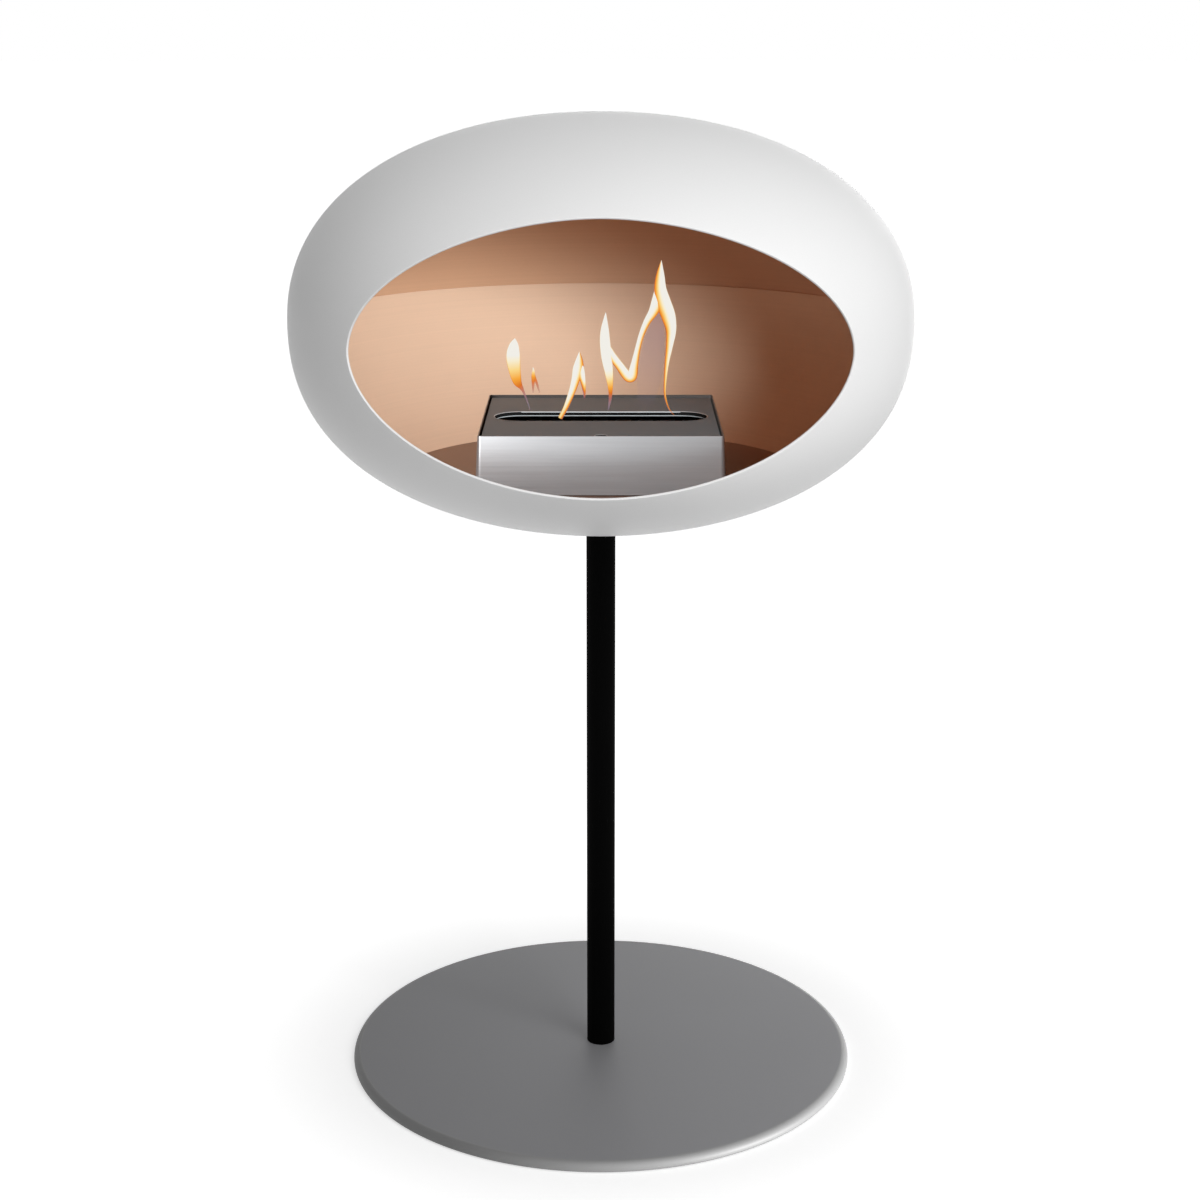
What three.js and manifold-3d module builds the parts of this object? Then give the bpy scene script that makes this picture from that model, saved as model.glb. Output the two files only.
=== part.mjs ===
// Pole-mounted bioethanol fireplace: a flattened round dome with a wide mouth, a copper-coloured
// liner inside, a lift-out burner box, and a slim pole on a heavy round base plate.
// Millimetres, +Z up, origin on the floor at the centre of the pole, mouth towards -Y.

import * as THREE from 'three';
import { mergeVertices } from 'three/addons/utils/BufferGeometryUtils.js';
import Module from 'manifold-3d';

const wasm = await Module();
wasm.setup();

// ---- Driving dimensions -------------------------------------------------------------------

const SEAT_GAP = 0.3;            // between pieces that bear on each other
const BOLT_CLEARANCE = 0.3;      // radial, round every bolt, stud and screw
const CUT_OVERSHOOT = 1;         // how far a cutter runs past the face that it opens

const FELT_THICKNESS = 0.8;
const FELT_MARGIN = 9;           // the felt stops this far inside the plate's edge
const BASE_RADIUS = 216;
const BASE_THICKNESS = 8;
const BASE_TOP_ROUNDING = 5;
const BASE_BOTTOM_ROUNDING = 2;

const POLE_RADIUS = 12;
const POLE_WALL = 2.5;
const POLE_INSERT_LENGTH = 30;
const POLE_GASKET_THICKNESS = 1;
const STUD_RADIUS = 5;           // the foot bolt and the stud in the pole's head
const FOOT_BOLT_LENGTH = 32;
const FOOT_BOLT_HEAD_RADIUS = 10;
const FOOT_BOLT_HEAD_HEIGHT = 5;
const FOOT_BOLT_SOCKET_ACROSS_FLATS = 6;
const FOOT_BOLT_SOCKET_DEPTH = 3;

const DOME_CENTRE_HEIGHT = 642.5;
const DOME_RADIUS = 250;
const DOME_CROWN_HEIGHT = 163.5; // equator to top
const DOME_BOWL_DEPTH = 166;     // equator to bottom
const DOME_PLAN_POWER = 2.13;    // superellipse powers of the dome's outline
const DOME_CROWN_POWER = 2.2;
const DOME_BOWL_POWER = 2.28;
const SHELL_WALL = 2;

const MOUTH_HALF_WIDTH = 186;
const MOUTH_HALF_HEIGHT = 101.5;
const MOUTH_DROP = 1.5;          // the mouth's centre lies this far under the equator
const MOUTH_POWER = 1.87;

const LINER_WALL = 1;
const LINER_LAP = 5;             // the upper liner tucks behind the lower one
const LINER_TAIL = 8;            // the lower liner ends this far under the floor plate

const SADDLE_RADIUS = 60;
const SADDLE_WALL = 3;
const CLAMP_WASHER_RADIUS = 15;
const CLAMP_WASHER_THICKNESS = 2.5;
const CLAMP_NUT_ACROSS_FLATS = 17;
const CLAMP_NUT_STUD_DEPTH = 12;

const FLOOR_RISE = 42;           // top of the floor plate above the dome's lowest point
const FLOOR_WALL = 1.5;
const FLOOR_SCREW_RADIUS = 1.5;
const FLOOR_SCREW_LENGTH = 11;
const FLOOR_SCREW_HEAD_RADIUS = 4;
const FLOOR_SCREW_HEAD_HEIGHT = 2;

const BURNER_WIDTH = 191;        // across the casing's rim
const BURNER_DEPTH = 188;
const BURNER_HEIGHT = 47;        // floor plate to rim, feet included
const BURNER_FLARE = 2.4;        // each wall stands out this much further at its foot
const BURNER_CORNER = 2.5;
const BURNER_SHEET = 1.2;
const BURNER_FOOT_HEIGHT = 4.5;
const BURNER_FOOT_RADIUS = 8;
const BURNER_FOOT_CHAMFER = 1.5;
const BURNER_FOOT_INSET = 22;    // foot centre from the casing's rim, in plan

const TANK_SHEET = 1;
const TANK_CORNER = 6;
const PAD_HEIGHT = 20;
const PAD_CLEARANCE = 0.5;
const GRID_THICKNESS = 1;
const GRID_COLUMNS = 9;
const GRID_ROWS = 2;
const GRID_BAR = 6;

const TOP_PLATE_RECESS = 2;
const TOP_PLATE_THICKNESS = 1.5;
const TOP_PLATE_GAP = 1.3;       // dark gap between the plate and the casing
const SLOT_END_MARGIN = 9;       // from the casing's side to the slot's end
const SLOT_WIDTH = 42;
const SLOT_OFFSET = 3;           // the slot's centre lies this far behind the burner's
const SLOT_COLLAR_DEPTH = 4;     // from the plate's top face
const SLOT_COLLAR_WALL = 1.2;
const SLOT_COLLAR_CLEARANCE = 0.8; // between the collar and the tank's wall
const HOOK_HOLE_RADIUS = 4.5;
const HOOK_HOLE_INSET = 12;      // from the burner's front rim

const SPIN_SEGMENTS = 52;        // facets round the dome and the base
const POLE_SEGMENTS = 24;
const BOLT_SEGMENTS = 20;
const HALF_OUTLINE_STEPS = 10;   // facets from the dome's equator to its top or bottom
const MOUTH_SEGMENTS = 60;
const ARC_STEPS = 4;             // facets in a quarter turn of a small rounding

const PLACE = { radius: 0, height: 1 };  // in a profile's [radius, height] points

// ---- Heights and insets that follow from them ---------------------------------------------

const baseTop = FELT_THICKNESS + BASE_THICKNESS;
const domeBottom = DOME_CENTRE_HEIGHT - DOME_BOWL_DEPTH;
const gasketTop = domeBottom - SEAT_GAP;
const poleTop = gasketTop - POLE_GASKET_THICKNESS - SEAT_GAP;
const poleFoot = baseTop + SEAT_GAP;
const floorTop = domeBottom + FLOOR_RISE;
const floorUnderside = floorTop - FLOOR_WALL;
const saddleInset = SHELL_WALL + SEAT_GAP;
const upperLinerInset = SHELL_WALL + SEAT_GAP;
const lowerLinerInset = upperLinerInset + LINER_WALL + SEAT_GAP;
const saddleTop = bowlPoint(PLACE.radius, CLAMP_WASHER_RADIUS, saddleInset)[PLACE.height] + SADDLE_WALL;
const clampNutFoot = saddleTop + SEAT_GAP + CLAMP_WASHER_THICKNESS + SEAT_GAP;
const clampNutTop = floorUnderside - SEAT_GAP;
const burnerFoot = floorTop + SEAT_GAP;
const casingFoot = floorTop + BURNER_FOOT_HEIGHT;
const rimTop = floorTop + BURNER_HEIGHT;
const topPlateTop = rimTop - TOP_PLATE_RECESS;
const topPlateUnderside = topPlateTop - TOP_PLATE_THICKNESS;
const tankTop = topPlateUnderside - SEAT_GAP;
const tankFoot = casingFoot + BURNER_SHEET + SEAT_GAP;
const padFoot = tankFoot + TANK_SHEET + SEAT_GAP;
const gridFoot = padFoot + PAD_HEIGHT + SEAT_GAP;

const slotLength = BURNER_WIDTH - 2 * SLOT_END_MARGIN;
const topPlateWidth = BURNER_WIDTH - 2 * (BURNER_SHEET + TOP_PLATE_GAP);
const topPlateDepth = BURNER_DEPTH - 2 * (BURNER_SHEET + TOP_PLATE_GAP);
const tankWidth = slotLength + 2 * (SLOT_COLLAR_WALL + SLOT_COLLAR_CLEARANCE + TANK_SHEET);
const tankFlange = (topPlateWidth - tankWidth) / 2;
const tankDepth = topPlateDepth - 2 * tankFlange;

// ---- Solids -------------------------------------------------------------------------------

/** A three.js geometry as a closed solid, with its faces pointing out. */
function solid(geometry) {
  const bare = geometry.clone();
  bare.deleteAttribute('normal');
  bare.deleteAttribute('uv');
  const merged = mergeVertices(bare, 1e-4);
  const position = merged.getAttribute('position');
  const corners = [0, 1, 2].map(() => new THREE.Vector3());
  const triangles = [];
  let volume = 0;
  for (let i = 0; i < merged.index.count; i += 3) {
    const triangle = [0, 1, 2].map((k) => merged.index.getX(i + k));
    if (new Set(triangle).size < 3) continue;
    triangles.push(triangle);
    corners.forEach((corner, k) => corner.fromBufferAttribute(position, triangle[k]));
    volume += corners[0].dot(corners[1].cross(corners[2]));
  }
  if (volume < 0) triangles.forEach((triangle) => triangle.reverse());
  return new wasm.Manifold(new wasm.Mesh({
    numProp: 3,
    vertProperties: new Float32Array(position.array),
    triVerts: new Uint32Array(triangles.flat()),
  }));
}

/** A solid as a three.js geometry with flat shading normals. */
function geometryOf(body) {
  const mesh = body.getMesh();
  const geometry = new THREE.BufferGeometry();
  geometry.setAttribute('position', new THREE.BufferAttribute(new Float32Array(mesh.vertProperties), 3));
  geometry.setIndex(new THREE.BufferAttribute(new Uint32Array(mesh.triVerts), 1));
  geometry.computeVertexNormals();
  return geometry;
}

/** A profile of [radius, height] points, turned round the Z axis. */
function turned(profile, segments, closed = true) {
  const points = profile.map(([radius, height]) => new THREE.Vector2(radius, height));
  if (closed) points.push(points[0].clone());
  return solid(new THREE.LatheGeometry(points, segments).rotateX(Math.PI / 2));
}

/** A round bar or disc about the Z axis. */
function disc(radius, foot, top, segments) {
  return turned([[0, foot], [radius, foot], [radius, top], [0, top]], segments, false);
}

/** A round ring about the Z axis. */
function ring(inner, outer, foot, top, segments) {
  return turned([[inner, foot], [outer, foot], [outer, top], [inner, top]], segments);
}

/** An outline in plan, raised from one height to another. */
function raised(shape, foot, top) {
  const geometry = new THREE.ExtrudeGeometry(shape, { depth: top - foot, bevelEnabled: false });
  return solid(geometry.translate(0, 0, foot));
}

/** A regular hexagon in plan, by its size across flats. */
function hexagon(acrossFlats) {
  const cornerRadius = acrossFlats / Math.sqrt(3);
  const corners = [0, 1, 2, 3, 4, 5].map((i) => {
    const angle = (i * Math.PI) / 3;
    return new THREE.Vector2(cornerRadius * Math.cos(angle), cornerRadius * Math.sin(angle));
  });
  return new THREE.Shape(corners);
}

/** Corner points of a rounded rectangle centred on the Z axis. */
function roundedRectangle(width, depth, corner) {
  const centres = [[1, 1], [-1, 1], [-1, -1], [1, -1]];
  return centres.flatMap(([signX, signY], quarter) => (
    Array.from({ length: ARC_STEPS + 1 }, (_, i) => {
      const angle = ((quarter + i / ARC_STEPS) * Math.PI) / 2;
      return new THREE.Vector2(
        signX * (width / 2 - corner) + corner * Math.cos(angle),
        signY * (depth / 2 - corner) + corner * Math.sin(angle),
      );
    })
  ));
}

/** A solid between two outlines that have as many points, one above the other. */
function lofted(lowerOutline, foot, upperOutline, top) {
  const count = lowerOutline.length;
  const lower = lowerOutline.flatMap((point) => [point.x, point.y, foot]);
  const upper = upperOutline.flatMap((point) => [point.x, point.y, top]);
  const lowerCap = THREE.ShapeUtils.triangulateShape(lowerOutline, []);
  const upperCap = THREE.ShapeUtils.triangulateShape(upperOutline, []);
  const index = [];
  lowerCap.forEach(([a, b, c]) => index.push(c, b, a));
  upperCap.forEach(([a, b, c]) => index.push(a + count, b + count, c + count));
  for (let i = 0; i < count; i += 1) {
    const next = (i + 1) % count;
    index.push(i, next, next + count, i, next + count, i + count);
  }
  const geometry = new THREE.BufferGeometry();
  geometry.setAttribute('position', new THREE.Float32BufferAttribute([...lower, ...upper], 3));
  geometry.setIndex(index);
  return solid(geometry);
}

// ---- The dome's outline -------------------------------------------------------------------

/** A point of the dome's outline, moved inwards, at an angle from the equator (-90 to 90 degrees). */
function outlinePoint(angle, inset) {
  const rise = angle < 0 ? DOME_BOWL_DEPTH : DOME_CROWN_HEIGHT;
  const power = angle < 0 ? DOME_BOWL_POWER : DOME_CROWN_POWER;
  const side = Math.sign(angle);
  const across = Math.max(Math.cos(angle), 0) ** (2 / DOME_PLAN_POWER);
  const up = Math.abs(Math.sin(angle)) ** (2 / power);
  const slopeAcross = (DOME_PLAN_POWER / DOME_RADIUS) * across ** (DOME_PLAN_POWER - 1);
  const slopeUp = (power / rise) * up ** (power - 1);
  const steepness = Math.hypot(slopeAcross, slopeUp);
  const radius = DOME_RADIUS * across - (inset * slopeAcross) / steepness;
  const height = side * (rise * up - (inset * slopeUp) / steepness);
  return [Math.max(radius, 0), DOME_CENTRE_HEIGHT + height];
}

/** Corners of the inset outline from bottom to top; every sheet of the dome shares their angles. */
function outlineCorners(inset) {
  const step = Math.PI / (2 * HALF_OUTLINE_STEPS);
  const count = 2 * HALF_OUTLINE_STEPS + 1;
  return Array.from({ length: count }, (_, i) => outlinePoint(-Math.PI / 2 + i * step, inset));
}

/** The point of a facet where its radius or its height has a value. */
function facetPoint([start, end], place, value) {
  const share = (value - start[place]) / (end[place] - start[place]);
  return [start[0] + share * (end[0] - start[0]), start[1] + share * (end[1] - start[1])];
}

/** The point of the bowl's inset outline where its radius or its height has a value. */
function bowlPoint(place, value, inset) {
  const corners = outlineCorners(inset);
  const last = corners.slice(1, HALF_OUTLINE_STEPS + 1).findIndex((corner) => corner[place] >= value);
  return facetPoint([corners[last], corners[last + 1]], place, value);
}

/** The inset outline between two of its points, with the corners that lie between them. */
function outlineBetween(low, high, inset) {
  const between = outlineCorners(inset).filter(([, height]) => height > low[1] && height < high[1]);
  return [low, ...between, high];
}

/** The mouth's opening as a solid that reaches out through the front wall alone. */
function mouthCutter() {
  const points = Array.from({ length: MOUTH_SEGMENTS }, (_, i) => {
    const angle = (2 * Math.PI * i) / MOUTH_SEGMENTS;
    const across = Math.sign(Math.cos(angle)) * Math.abs(Math.cos(angle)) ** (2 / MOUTH_POWER);
    const up = Math.sign(Math.sin(angle)) * Math.abs(Math.sin(angle)) ** (2 / MOUTH_POWER);
    return new THREE.Vector2(MOUTH_HALF_WIDTH * across, MOUTH_HALF_HEIGHT * up);
  });
  const geometry = new THREE.ExtrudeGeometry(new THREE.Shape(points), {
    depth: 2 * DOME_RADIUS,
    bevelEnabled: false,
  });
  geometry.rotateX(Math.PI / 2);
  return solid(geometry.translate(0, 0, DOME_CENTRE_HEIGHT - MOUTH_DROP));
}

// ---- Base and pole ------------------------------------------------------------------------

/** Points of a quarter round about a centre, from one angle, anticlockwise. */
function quarterRound(centreRadius, centreHeight, rounding, fromAngle) {
  return Array.from({ length: ARC_STEPS + 1 }, (_, i) => {
    const angle = fromAngle + ((Math.PI / 2) * i) / ARC_STEPS;
    return [centreRadius + rounding * Math.cos(angle), centreHeight + rounding * Math.sin(angle)];
  });
}

/** Full felt disc under the base plate. */
function baseFelt() {
  return disc(BASE_RADIUS - FELT_MARGIN, 0, FELT_THICKNESS - SEAT_GAP, SPIN_SEGMENTS);
}

/** Heavy steel disc with a rounded edge and a countersunk hole for the foot bolt. */
function basePlate() {
  const boltHole = STUD_RADIUS + BOLT_CLEARANCE;
  const countersink = FOOT_BOLT_HEAD_RADIUS + BOLT_CLEARANCE;
  const lower = quarterRound(
    BASE_RADIUS - BASE_BOTTOM_ROUNDING,
    FELT_THICKNESS + BASE_BOTTOM_ROUNDING,
    BASE_BOTTOM_ROUNDING,
    -Math.PI / 2,
  );
  const upper = quarterRound(
    BASE_RADIUS - BASE_TOP_ROUNDING,
    baseTop - BASE_TOP_ROUNDING,
    BASE_TOP_ROUNDING,
    0,
  );
  return turned([
    [countersink, FELT_THICKNESS],
    ...lower,
    ...upper,
    [boltHole, baseTop],
    [boltHole, FELT_THICKNESS + FOOT_BOLT_HEAD_HEIGHT + BOLT_CLEARANCE],
  ], SPIN_SEGMENTS);
}

/** Countersunk bolt that draws the pole down on the base plate. */
function footBolt() {
  const bolt = turned([
    [0, FELT_THICKNESS],
    [FOOT_BOLT_HEAD_RADIUS, FELT_THICKNESS],
    [STUD_RADIUS, FELT_THICKNESS + FOOT_BOLT_HEAD_HEIGHT],
    [STUD_RADIUS, FELT_THICKNESS + FOOT_BOLT_LENGTH],
    [0, FELT_THICKNESS + FOOT_BOLT_LENGTH],
  ], BOLT_SEGMENTS, false);
  const socket = raised(
    hexagon(FOOT_BOLT_SOCKET_ACROSS_FLATS),
    FELT_THICKNESS - FOOT_BOLT_SOCKET_DEPTH,
    FELT_THICKNESS + FOOT_BOLT_SOCKET_DEPTH,
  );
  return bolt.subtract(socket);
}

/** Slim steel tube. */
function poleTube() {
  return ring(POLE_RADIUS - POLE_WALL, POLE_RADIUS, poleFoot, poleTop, POLE_SEGMENTS);
}

/** Tapped steel bung in one end of the pole. */
function poleInsert(foot) {
  const outer = POLE_RADIUS - POLE_WALL - SEAT_GAP;
  return ring(STUD_RADIUS + BOLT_CLEARANCE, outer, foot, foot + POLE_INSERT_LENGTH, POLE_SEGMENTS);
}

/** Thin ring that keeps the pole's end off the dome's paint. */
function poleGasket() {
  const foot = gasketTop - POLE_GASKET_THICKNESS;
  return ring(STUD_RADIUS + BOLT_CLEARANCE, POLE_RADIUS, foot, gasketTop, POLE_SEGMENTS);
}

/** Stud from the pole's head insert up through the dome into the clamp nut. */
function poleStud() {
  const top = clampNutFoot + CLAMP_NUT_STUD_DEPTH - SEAT_GAP;
  return disc(STUD_RADIUS, poleTop - POLE_INSERT_LENGTH, top, BOLT_SEGMENTS);
}

// ---- Dome ---------------------------------------------------------------------------------

/** Outer shell: closed all round, with the mouth cut in its front and a hole for the stud. */
function domeShell() {
  const studHole = STUD_RADIUS + BOLT_CLEARANCE;
  return turned(outlineCorners(0), SPIN_SEGMENTS, false)
    .subtract(turned(outlineCorners(SHELL_WALL), SPIN_SEGMENTS, false))
    .subtract(disc(studHole, domeBottom - CUT_OVERSHOOT, saddleTop, BOLT_SEGMENTS))
    .subtract(mouthCutter());
}

/** Dished steel plate that spreads the dome's weight over its thin bottom, flat under the washer. */
function saddlePlate() {
  const hole = bowlPoint(PLACE.radius, STUD_RADIUS + BOLT_CLEARANCE, saddleInset);
  const rim = bowlPoint(PLACE.radius, SADDLE_RADIUS, saddleInset);
  const underside = outlineBetween(hole, rim, saddleInset);
  const topside = underside
    .filter(([radius]) => radius > CLAMP_WASHER_RADIUS)
    .map(([radius, height]) => [radius, height + SADDLE_WALL]);
  const seat = [[hole[PLACE.radius], saddleTop], [CLAMP_WASHER_RADIUS, saddleTop]];
  return turned([...underside, ...[...seat, ...topside].reverse()], SPIN_SEGMENTS);
}

/** Flat washer under the clamp nut. */
function clampWasher() {
  const foot = saddleTop + SEAT_GAP;
  const bore = STUD_RADIUS + BOLT_CLEARANCE;
  return ring(bore, CLAMP_WASHER_RADIUS, foot, foot + CLAMP_WASHER_THICKNESS, BOLT_SEGMENTS);
}

/** Long nut that clamps the dome to the pole and carries the middle of the floor plate. */
function clampNut() {
  const studBore = disc(
    STUD_RADIUS + BOLT_CLEARANCE,
    clampNutFoot - CUT_OVERSHOOT,
    clampNutFoot + CLAMP_NUT_STUD_DEPTH,
    BOLT_SEGMENTS,
  );
  const screwBore = disc(
    FLOOR_SCREW_RADIUS + BOLT_CLEARANCE,
    floorTop - FLOOR_SCREW_LENGTH - SEAT_GAP,
    clampNutTop + CUT_OVERSHOOT,
    BOLT_SEGMENTS,
  );
  return raised(hexagon(CLAMP_NUT_ACROSS_FLATS), clampNutFoot, clampNutTop)
    .subtract(studBore)
    .subtract(screwBore);
}

// ---- Copper-coloured liner ----------------------------------------------------------------

/** Top point of the inset outline. */
function crownPoint(inset) {
  return outlinePoint(Math.PI / 2, inset);
}

/** Point of the inset outline on the equator. */
function equatorPoint(inset) {
  return outlinePoint(0, inset);
}

/** A spun liner sheet between a height in the bowl and an upper end of the outline, with the mouth cut. */
function linerSheet(footHeight, upperEnd, inset) {
  const [outside, inside] = [inset, inset + LINER_WALL].map((face) => (
    outlineBetween(bowlPoint(PLACE.height, footHeight, face), upperEnd(face), face)
  ));
  return turned([...outside, ...inside.reverse()], SPIN_SEGMENTS).subtract(mouthCutter());
}

/** Upper liner: a spun cap that hangs down a little past the equator, behind the lower liner. */
function linerUpper() {
  return linerSheet(DOME_CENTRE_HEIGHT - LINER_LAP, crownPoint, upperLinerInset);
}

/** Lower liner: a spun band from the equator down to just under the floor plate. */
function linerLower() {
  return linerSheet(floorUnderside - LINER_TAIL, equatorPoint, lowerLinerInset);
}

/** Flat floor plate that wedges in the lower liner and is screwed to the clamp nut. */
function floorPlate() {
  const [linerRadius] = bowlPoint(PLACE.height, floorUnderside, lowerLinerInset + LINER_WALL);
  const screwHole = FLOOR_SCREW_RADIUS + BOLT_CLEARANCE;
  return ring(screwHole, linerRadius - SEAT_GAP, floorUnderside, floorTop, SPIN_SEGMENTS);
}

/** Low-head screw in the middle of the floor plate. */
function floorScrew() {
  const underHead = floorTop + SEAT_GAP;
  return turned([
    [0, floorTop - FLOOR_SCREW_LENGTH],
    [FLOOR_SCREW_RADIUS, floorTop - FLOOR_SCREW_LENGTH],
    [FLOOR_SCREW_RADIUS, underHead],
    [FLOOR_SCREW_HEAD_RADIUS, underHead],
    [FLOOR_SCREW_HEAD_RADIUS, underHead + FLOOR_SCREW_HEAD_HEIGHT],
    [0, underHead + FLOOR_SCREW_HEAD_HEIGHT],
  ], BOLT_SEGMENTS, false);
}

// ---- Burner -------------------------------------------------------------------------------

/** Outline of the burner's casing at a height, moved inwards. */
function casingOutline(height, inset) {
  const flare = (BURNER_FLARE * (rimTop - height)) / (rimTop - casingFoot);
  const growth = 2 * (flare - inset);
  const corner = BURNER_CORNER - Math.min(inset, BURNER_CORNER / 2);
  return roundedRectangle(BURNER_WIDTH + growth, BURNER_DEPTH + growth, corner);
}

/** Open steel box whose four walls flare a little towards the foot. */
function burnerCasing() {
  const floor = casingFoot + BURNER_SHEET;
  const cutTop = rimTop + CUT_OVERSHOOT;
  const outer = lofted(casingOutline(casingFoot, 0), casingFoot, casingOutline(rimTop, 0), rimTop);
  const lowerHollow = casingOutline(floor, BURNER_SHEET);
  const upperHollow = casingOutline(cutTop, BURNER_SHEET);
  const hollow = lofted(lowerHollow, floor, upperHollow, cutTop);
  return outer.subtract(hollow);
}

/** Fuel tank: a liquid-tight tray whose flange carries the top plate. */
function burnerTank() {
  const flangeOutline = roundedRectangle(topPlateWidth, topPlateDepth, TANK_CORNER);
  const wallOutline = roundedRectangle(tankWidth, tankDepth, TANK_CORNER);
  const innerCorner = TANK_CORNER - TANK_SHEET;
  const hollowOutline = roundedRectangle(tankWidth - 2 * TANK_SHEET, tankDepth - 2 * TANK_SHEET, innerCorner);
  return raised(new THREE.Shape(flangeOutline), tankTop - TANK_SHEET, tankTop)
    .add(raised(new THREE.Shape(wallOutline), tankFoot, tankTop))
    .subtract(raised(new THREE.Shape(hollowOutline), tankFoot + TANK_SHEET, tankTop + CUT_OVERSHOOT));
}

const padWidth = tankWidth - 2 * (TANK_SHEET + PAD_CLEARANCE);
const padDepth = tankDepth - 2 * (TANK_SHEET + PAD_CLEARANCE);

/** Outline of what lies in the tank. */
function padOutline() {
  return new THREE.Shape(roundedRectangle(padWidth, padDepth, TANK_CORNER - TANK_SHEET));
}

/** Ceramic-fibre pad that soaks up the fuel. */
function absorbentPad() {
  return raised(padOutline(), padFoot, padFoot + PAD_HEIGHT);
}

/** Slotted sheet that holds the pad down. */
function absorbentGrid() {
  const pitchX = (padWidth - GRID_BAR) / GRID_COLUMNS;
  const pitchY = (padDepth - GRID_BAR) / GRID_ROWS;
  const window = new THREE.BoxGeometry(pitchX - GRID_BAR, pitchY - GRID_BAR, 3 * GRID_THICKNESS);
  let sheet = raised(padOutline(), gridFoot, gridFoot + GRID_THICKNESS);
  for (let column = 0; column < GRID_COLUMNS; column += 1) {
    for (let row = 0; row < GRID_ROWS; row += 1) {
      const x = (column - (GRID_COLUMNS - 1) / 2) * pitchX;
      const y = (row - (GRID_ROWS - 1) / 2) * pitchY;
      sheet = sheet.subtract(solid(window).translate([x, y, gridFoot + GRID_THICKNESS / 2]));
    }
  }
  return sheet;
}

/** The long slot's outline with round ends, grown by a margin. */
function slotOutline(margin) {
  const halfWidth = SLOT_WIDTH / 2;
  const radius = halfWidth + margin;
  const reach = slotLength / 2 - halfWidth;
  const shape = new THREE.Shape();
  shape.absarc(reach, SLOT_OFFSET, radius, -Math.PI / 2, Math.PI / 2, false);
  shape.absarc(-reach, SLOT_OFFSET, radius, Math.PI / 2, (3 * Math.PI) / 2, false);
  return new THREE.Shape(shape.getPoints(2 * ARC_STEPS));
}

/** Recessed top plate: a long flame slot with a turned-down collar, and a hole for the lifting hook. */
function topPlate() {
  const outlineShape = new THREE.Shape(roundedRectangle(topPlateWidth, topPlateDepth, BURNER_CORNER));
  const collarFoot = topPlateTop - SLOT_COLLAR_DEPTH;
  const cutFoot = collarFoot - CUT_OVERSHOOT;
  const cutTop = topPlateTop + CUT_OVERSHOOT;
  const hookHole = disc(HOOK_HOLE_RADIUS, cutFoot, cutTop, BOLT_SEGMENTS)
    .translate([0, HOOK_HOLE_INSET - BURNER_DEPTH / 2, 0]);
  return raised(outlineShape, topPlateUnderside, topPlateTop)
    .add(raised(slotOutline(SLOT_COLLAR_WALL), collarFoot, topPlateTop))
    .subtract(raised(slotOutline(0), cutFoot, cutTop))
    .subtract(hookHole);
}

/** Round foot with a narrower tread. */
function burnerFootSolid() {
  const height = BURNER_FOOT_HEIGHT - 2 * SEAT_GAP;
  return turned([
    [0, 0],
    [BURNER_FOOT_RADIUS - BURNER_FOOT_CHAMFER, 0],
    [BURNER_FOOT_RADIUS, BURNER_FOOT_CHAMFER],
    [BURNER_FOOT_RADIUS, height],
    [0, height],
  ], BOLT_SEGMENTS, false);
}

// ---- Assembly -----------------------------------------------------------------------------

/** Material from a colour, its roughness and how metallic it is. */
function finish(color, roughness, metalness) {
  return new THREE.MeshStandardMaterial({ color, roughness, metalness });
}

const FINISHES = {
  shellPaint: finish(0xe4e4e4, 0.45, 0.1),
  copper: finish(0xc07a50, 0.35, 0.85),
  basePaint: finish(0x707074, 0.35, 0.6),
  poleBlack: finish(0x0b0b0b, 0.4, 0.1),
  steel: finish(0xb4b6ba, 0.3, 0.9),
  zincPlate: finish(0xa9abad, 0.45, 0.8),
  darkSteel: finish(0x6b6864, 0.45, 0.7),
  felt: finish(0x2a2a2a, 0.95, 0),
  rubber: finish(0x161616, 0.8, 0),
  ceramicFibre: finish(0xe8e4da, 0.95, 0),
};

const fireplace = new THREE.Group();

/** Puts a solid into the assembly as a named mesh and returns the mesh. */
function place(name, body, material) {
  const mesh = new THREE.Mesh(geometryOf(body), material);
  mesh.name = name;
  fireplace.add(mesh);
  return mesh;
}

place('base_felt', baseFelt(), FINISHES.felt);
place('base_plate', basePlate(), FINISHES.basePaint);
place('foot_bolt', footBolt(), FINISHES.zincPlate);
place('pole_tube', poleTube(), FINISHES.poleBlack);
place('pole_foot_insert', poleInsert(poleFoot), FINISHES.zincPlate);
place('pole_head_insert', poleInsert(poleTop - POLE_INSERT_LENGTH), FINISHES.zincPlate);
place('pole_gasket', poleGasket(), FINISHES.rubber);
place('pole_stud', poleStud(), FINISHES.zincPlate);

place('dome_shell', domeShell(), FINISHES.shellPaint);
place('saddle_plate', saddlePlate(), FINISHES.zincPlate);
place('clamp_washer', clampWasher(), FINISHES.zincPlate);
place('clamp_nut', clampNut(), FINISHES.zincPlate);
place('liner_upper', linerUpper(), FINISHES.copper);
place('liner_lower', linerLower(), FINISHES.copper);
place('floor_plate', floorPlate(), FINISHES.copper);
place('floor_screw', floorScrew(), FINISHES.zincPlate);

place('burner_casing', burnerCasing(), FINISHES.steel);
place('burner_tank', burnerTank(), FINISHES.steel);
place('absorbent_pad', absorbentPad(), FINISHES.ceramicFibre);
place('absorbent_grid', absorbentGrid(), FINISHES.steel);
place('top_plate', topPlate(), FINISHES.darkSteel);

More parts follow.
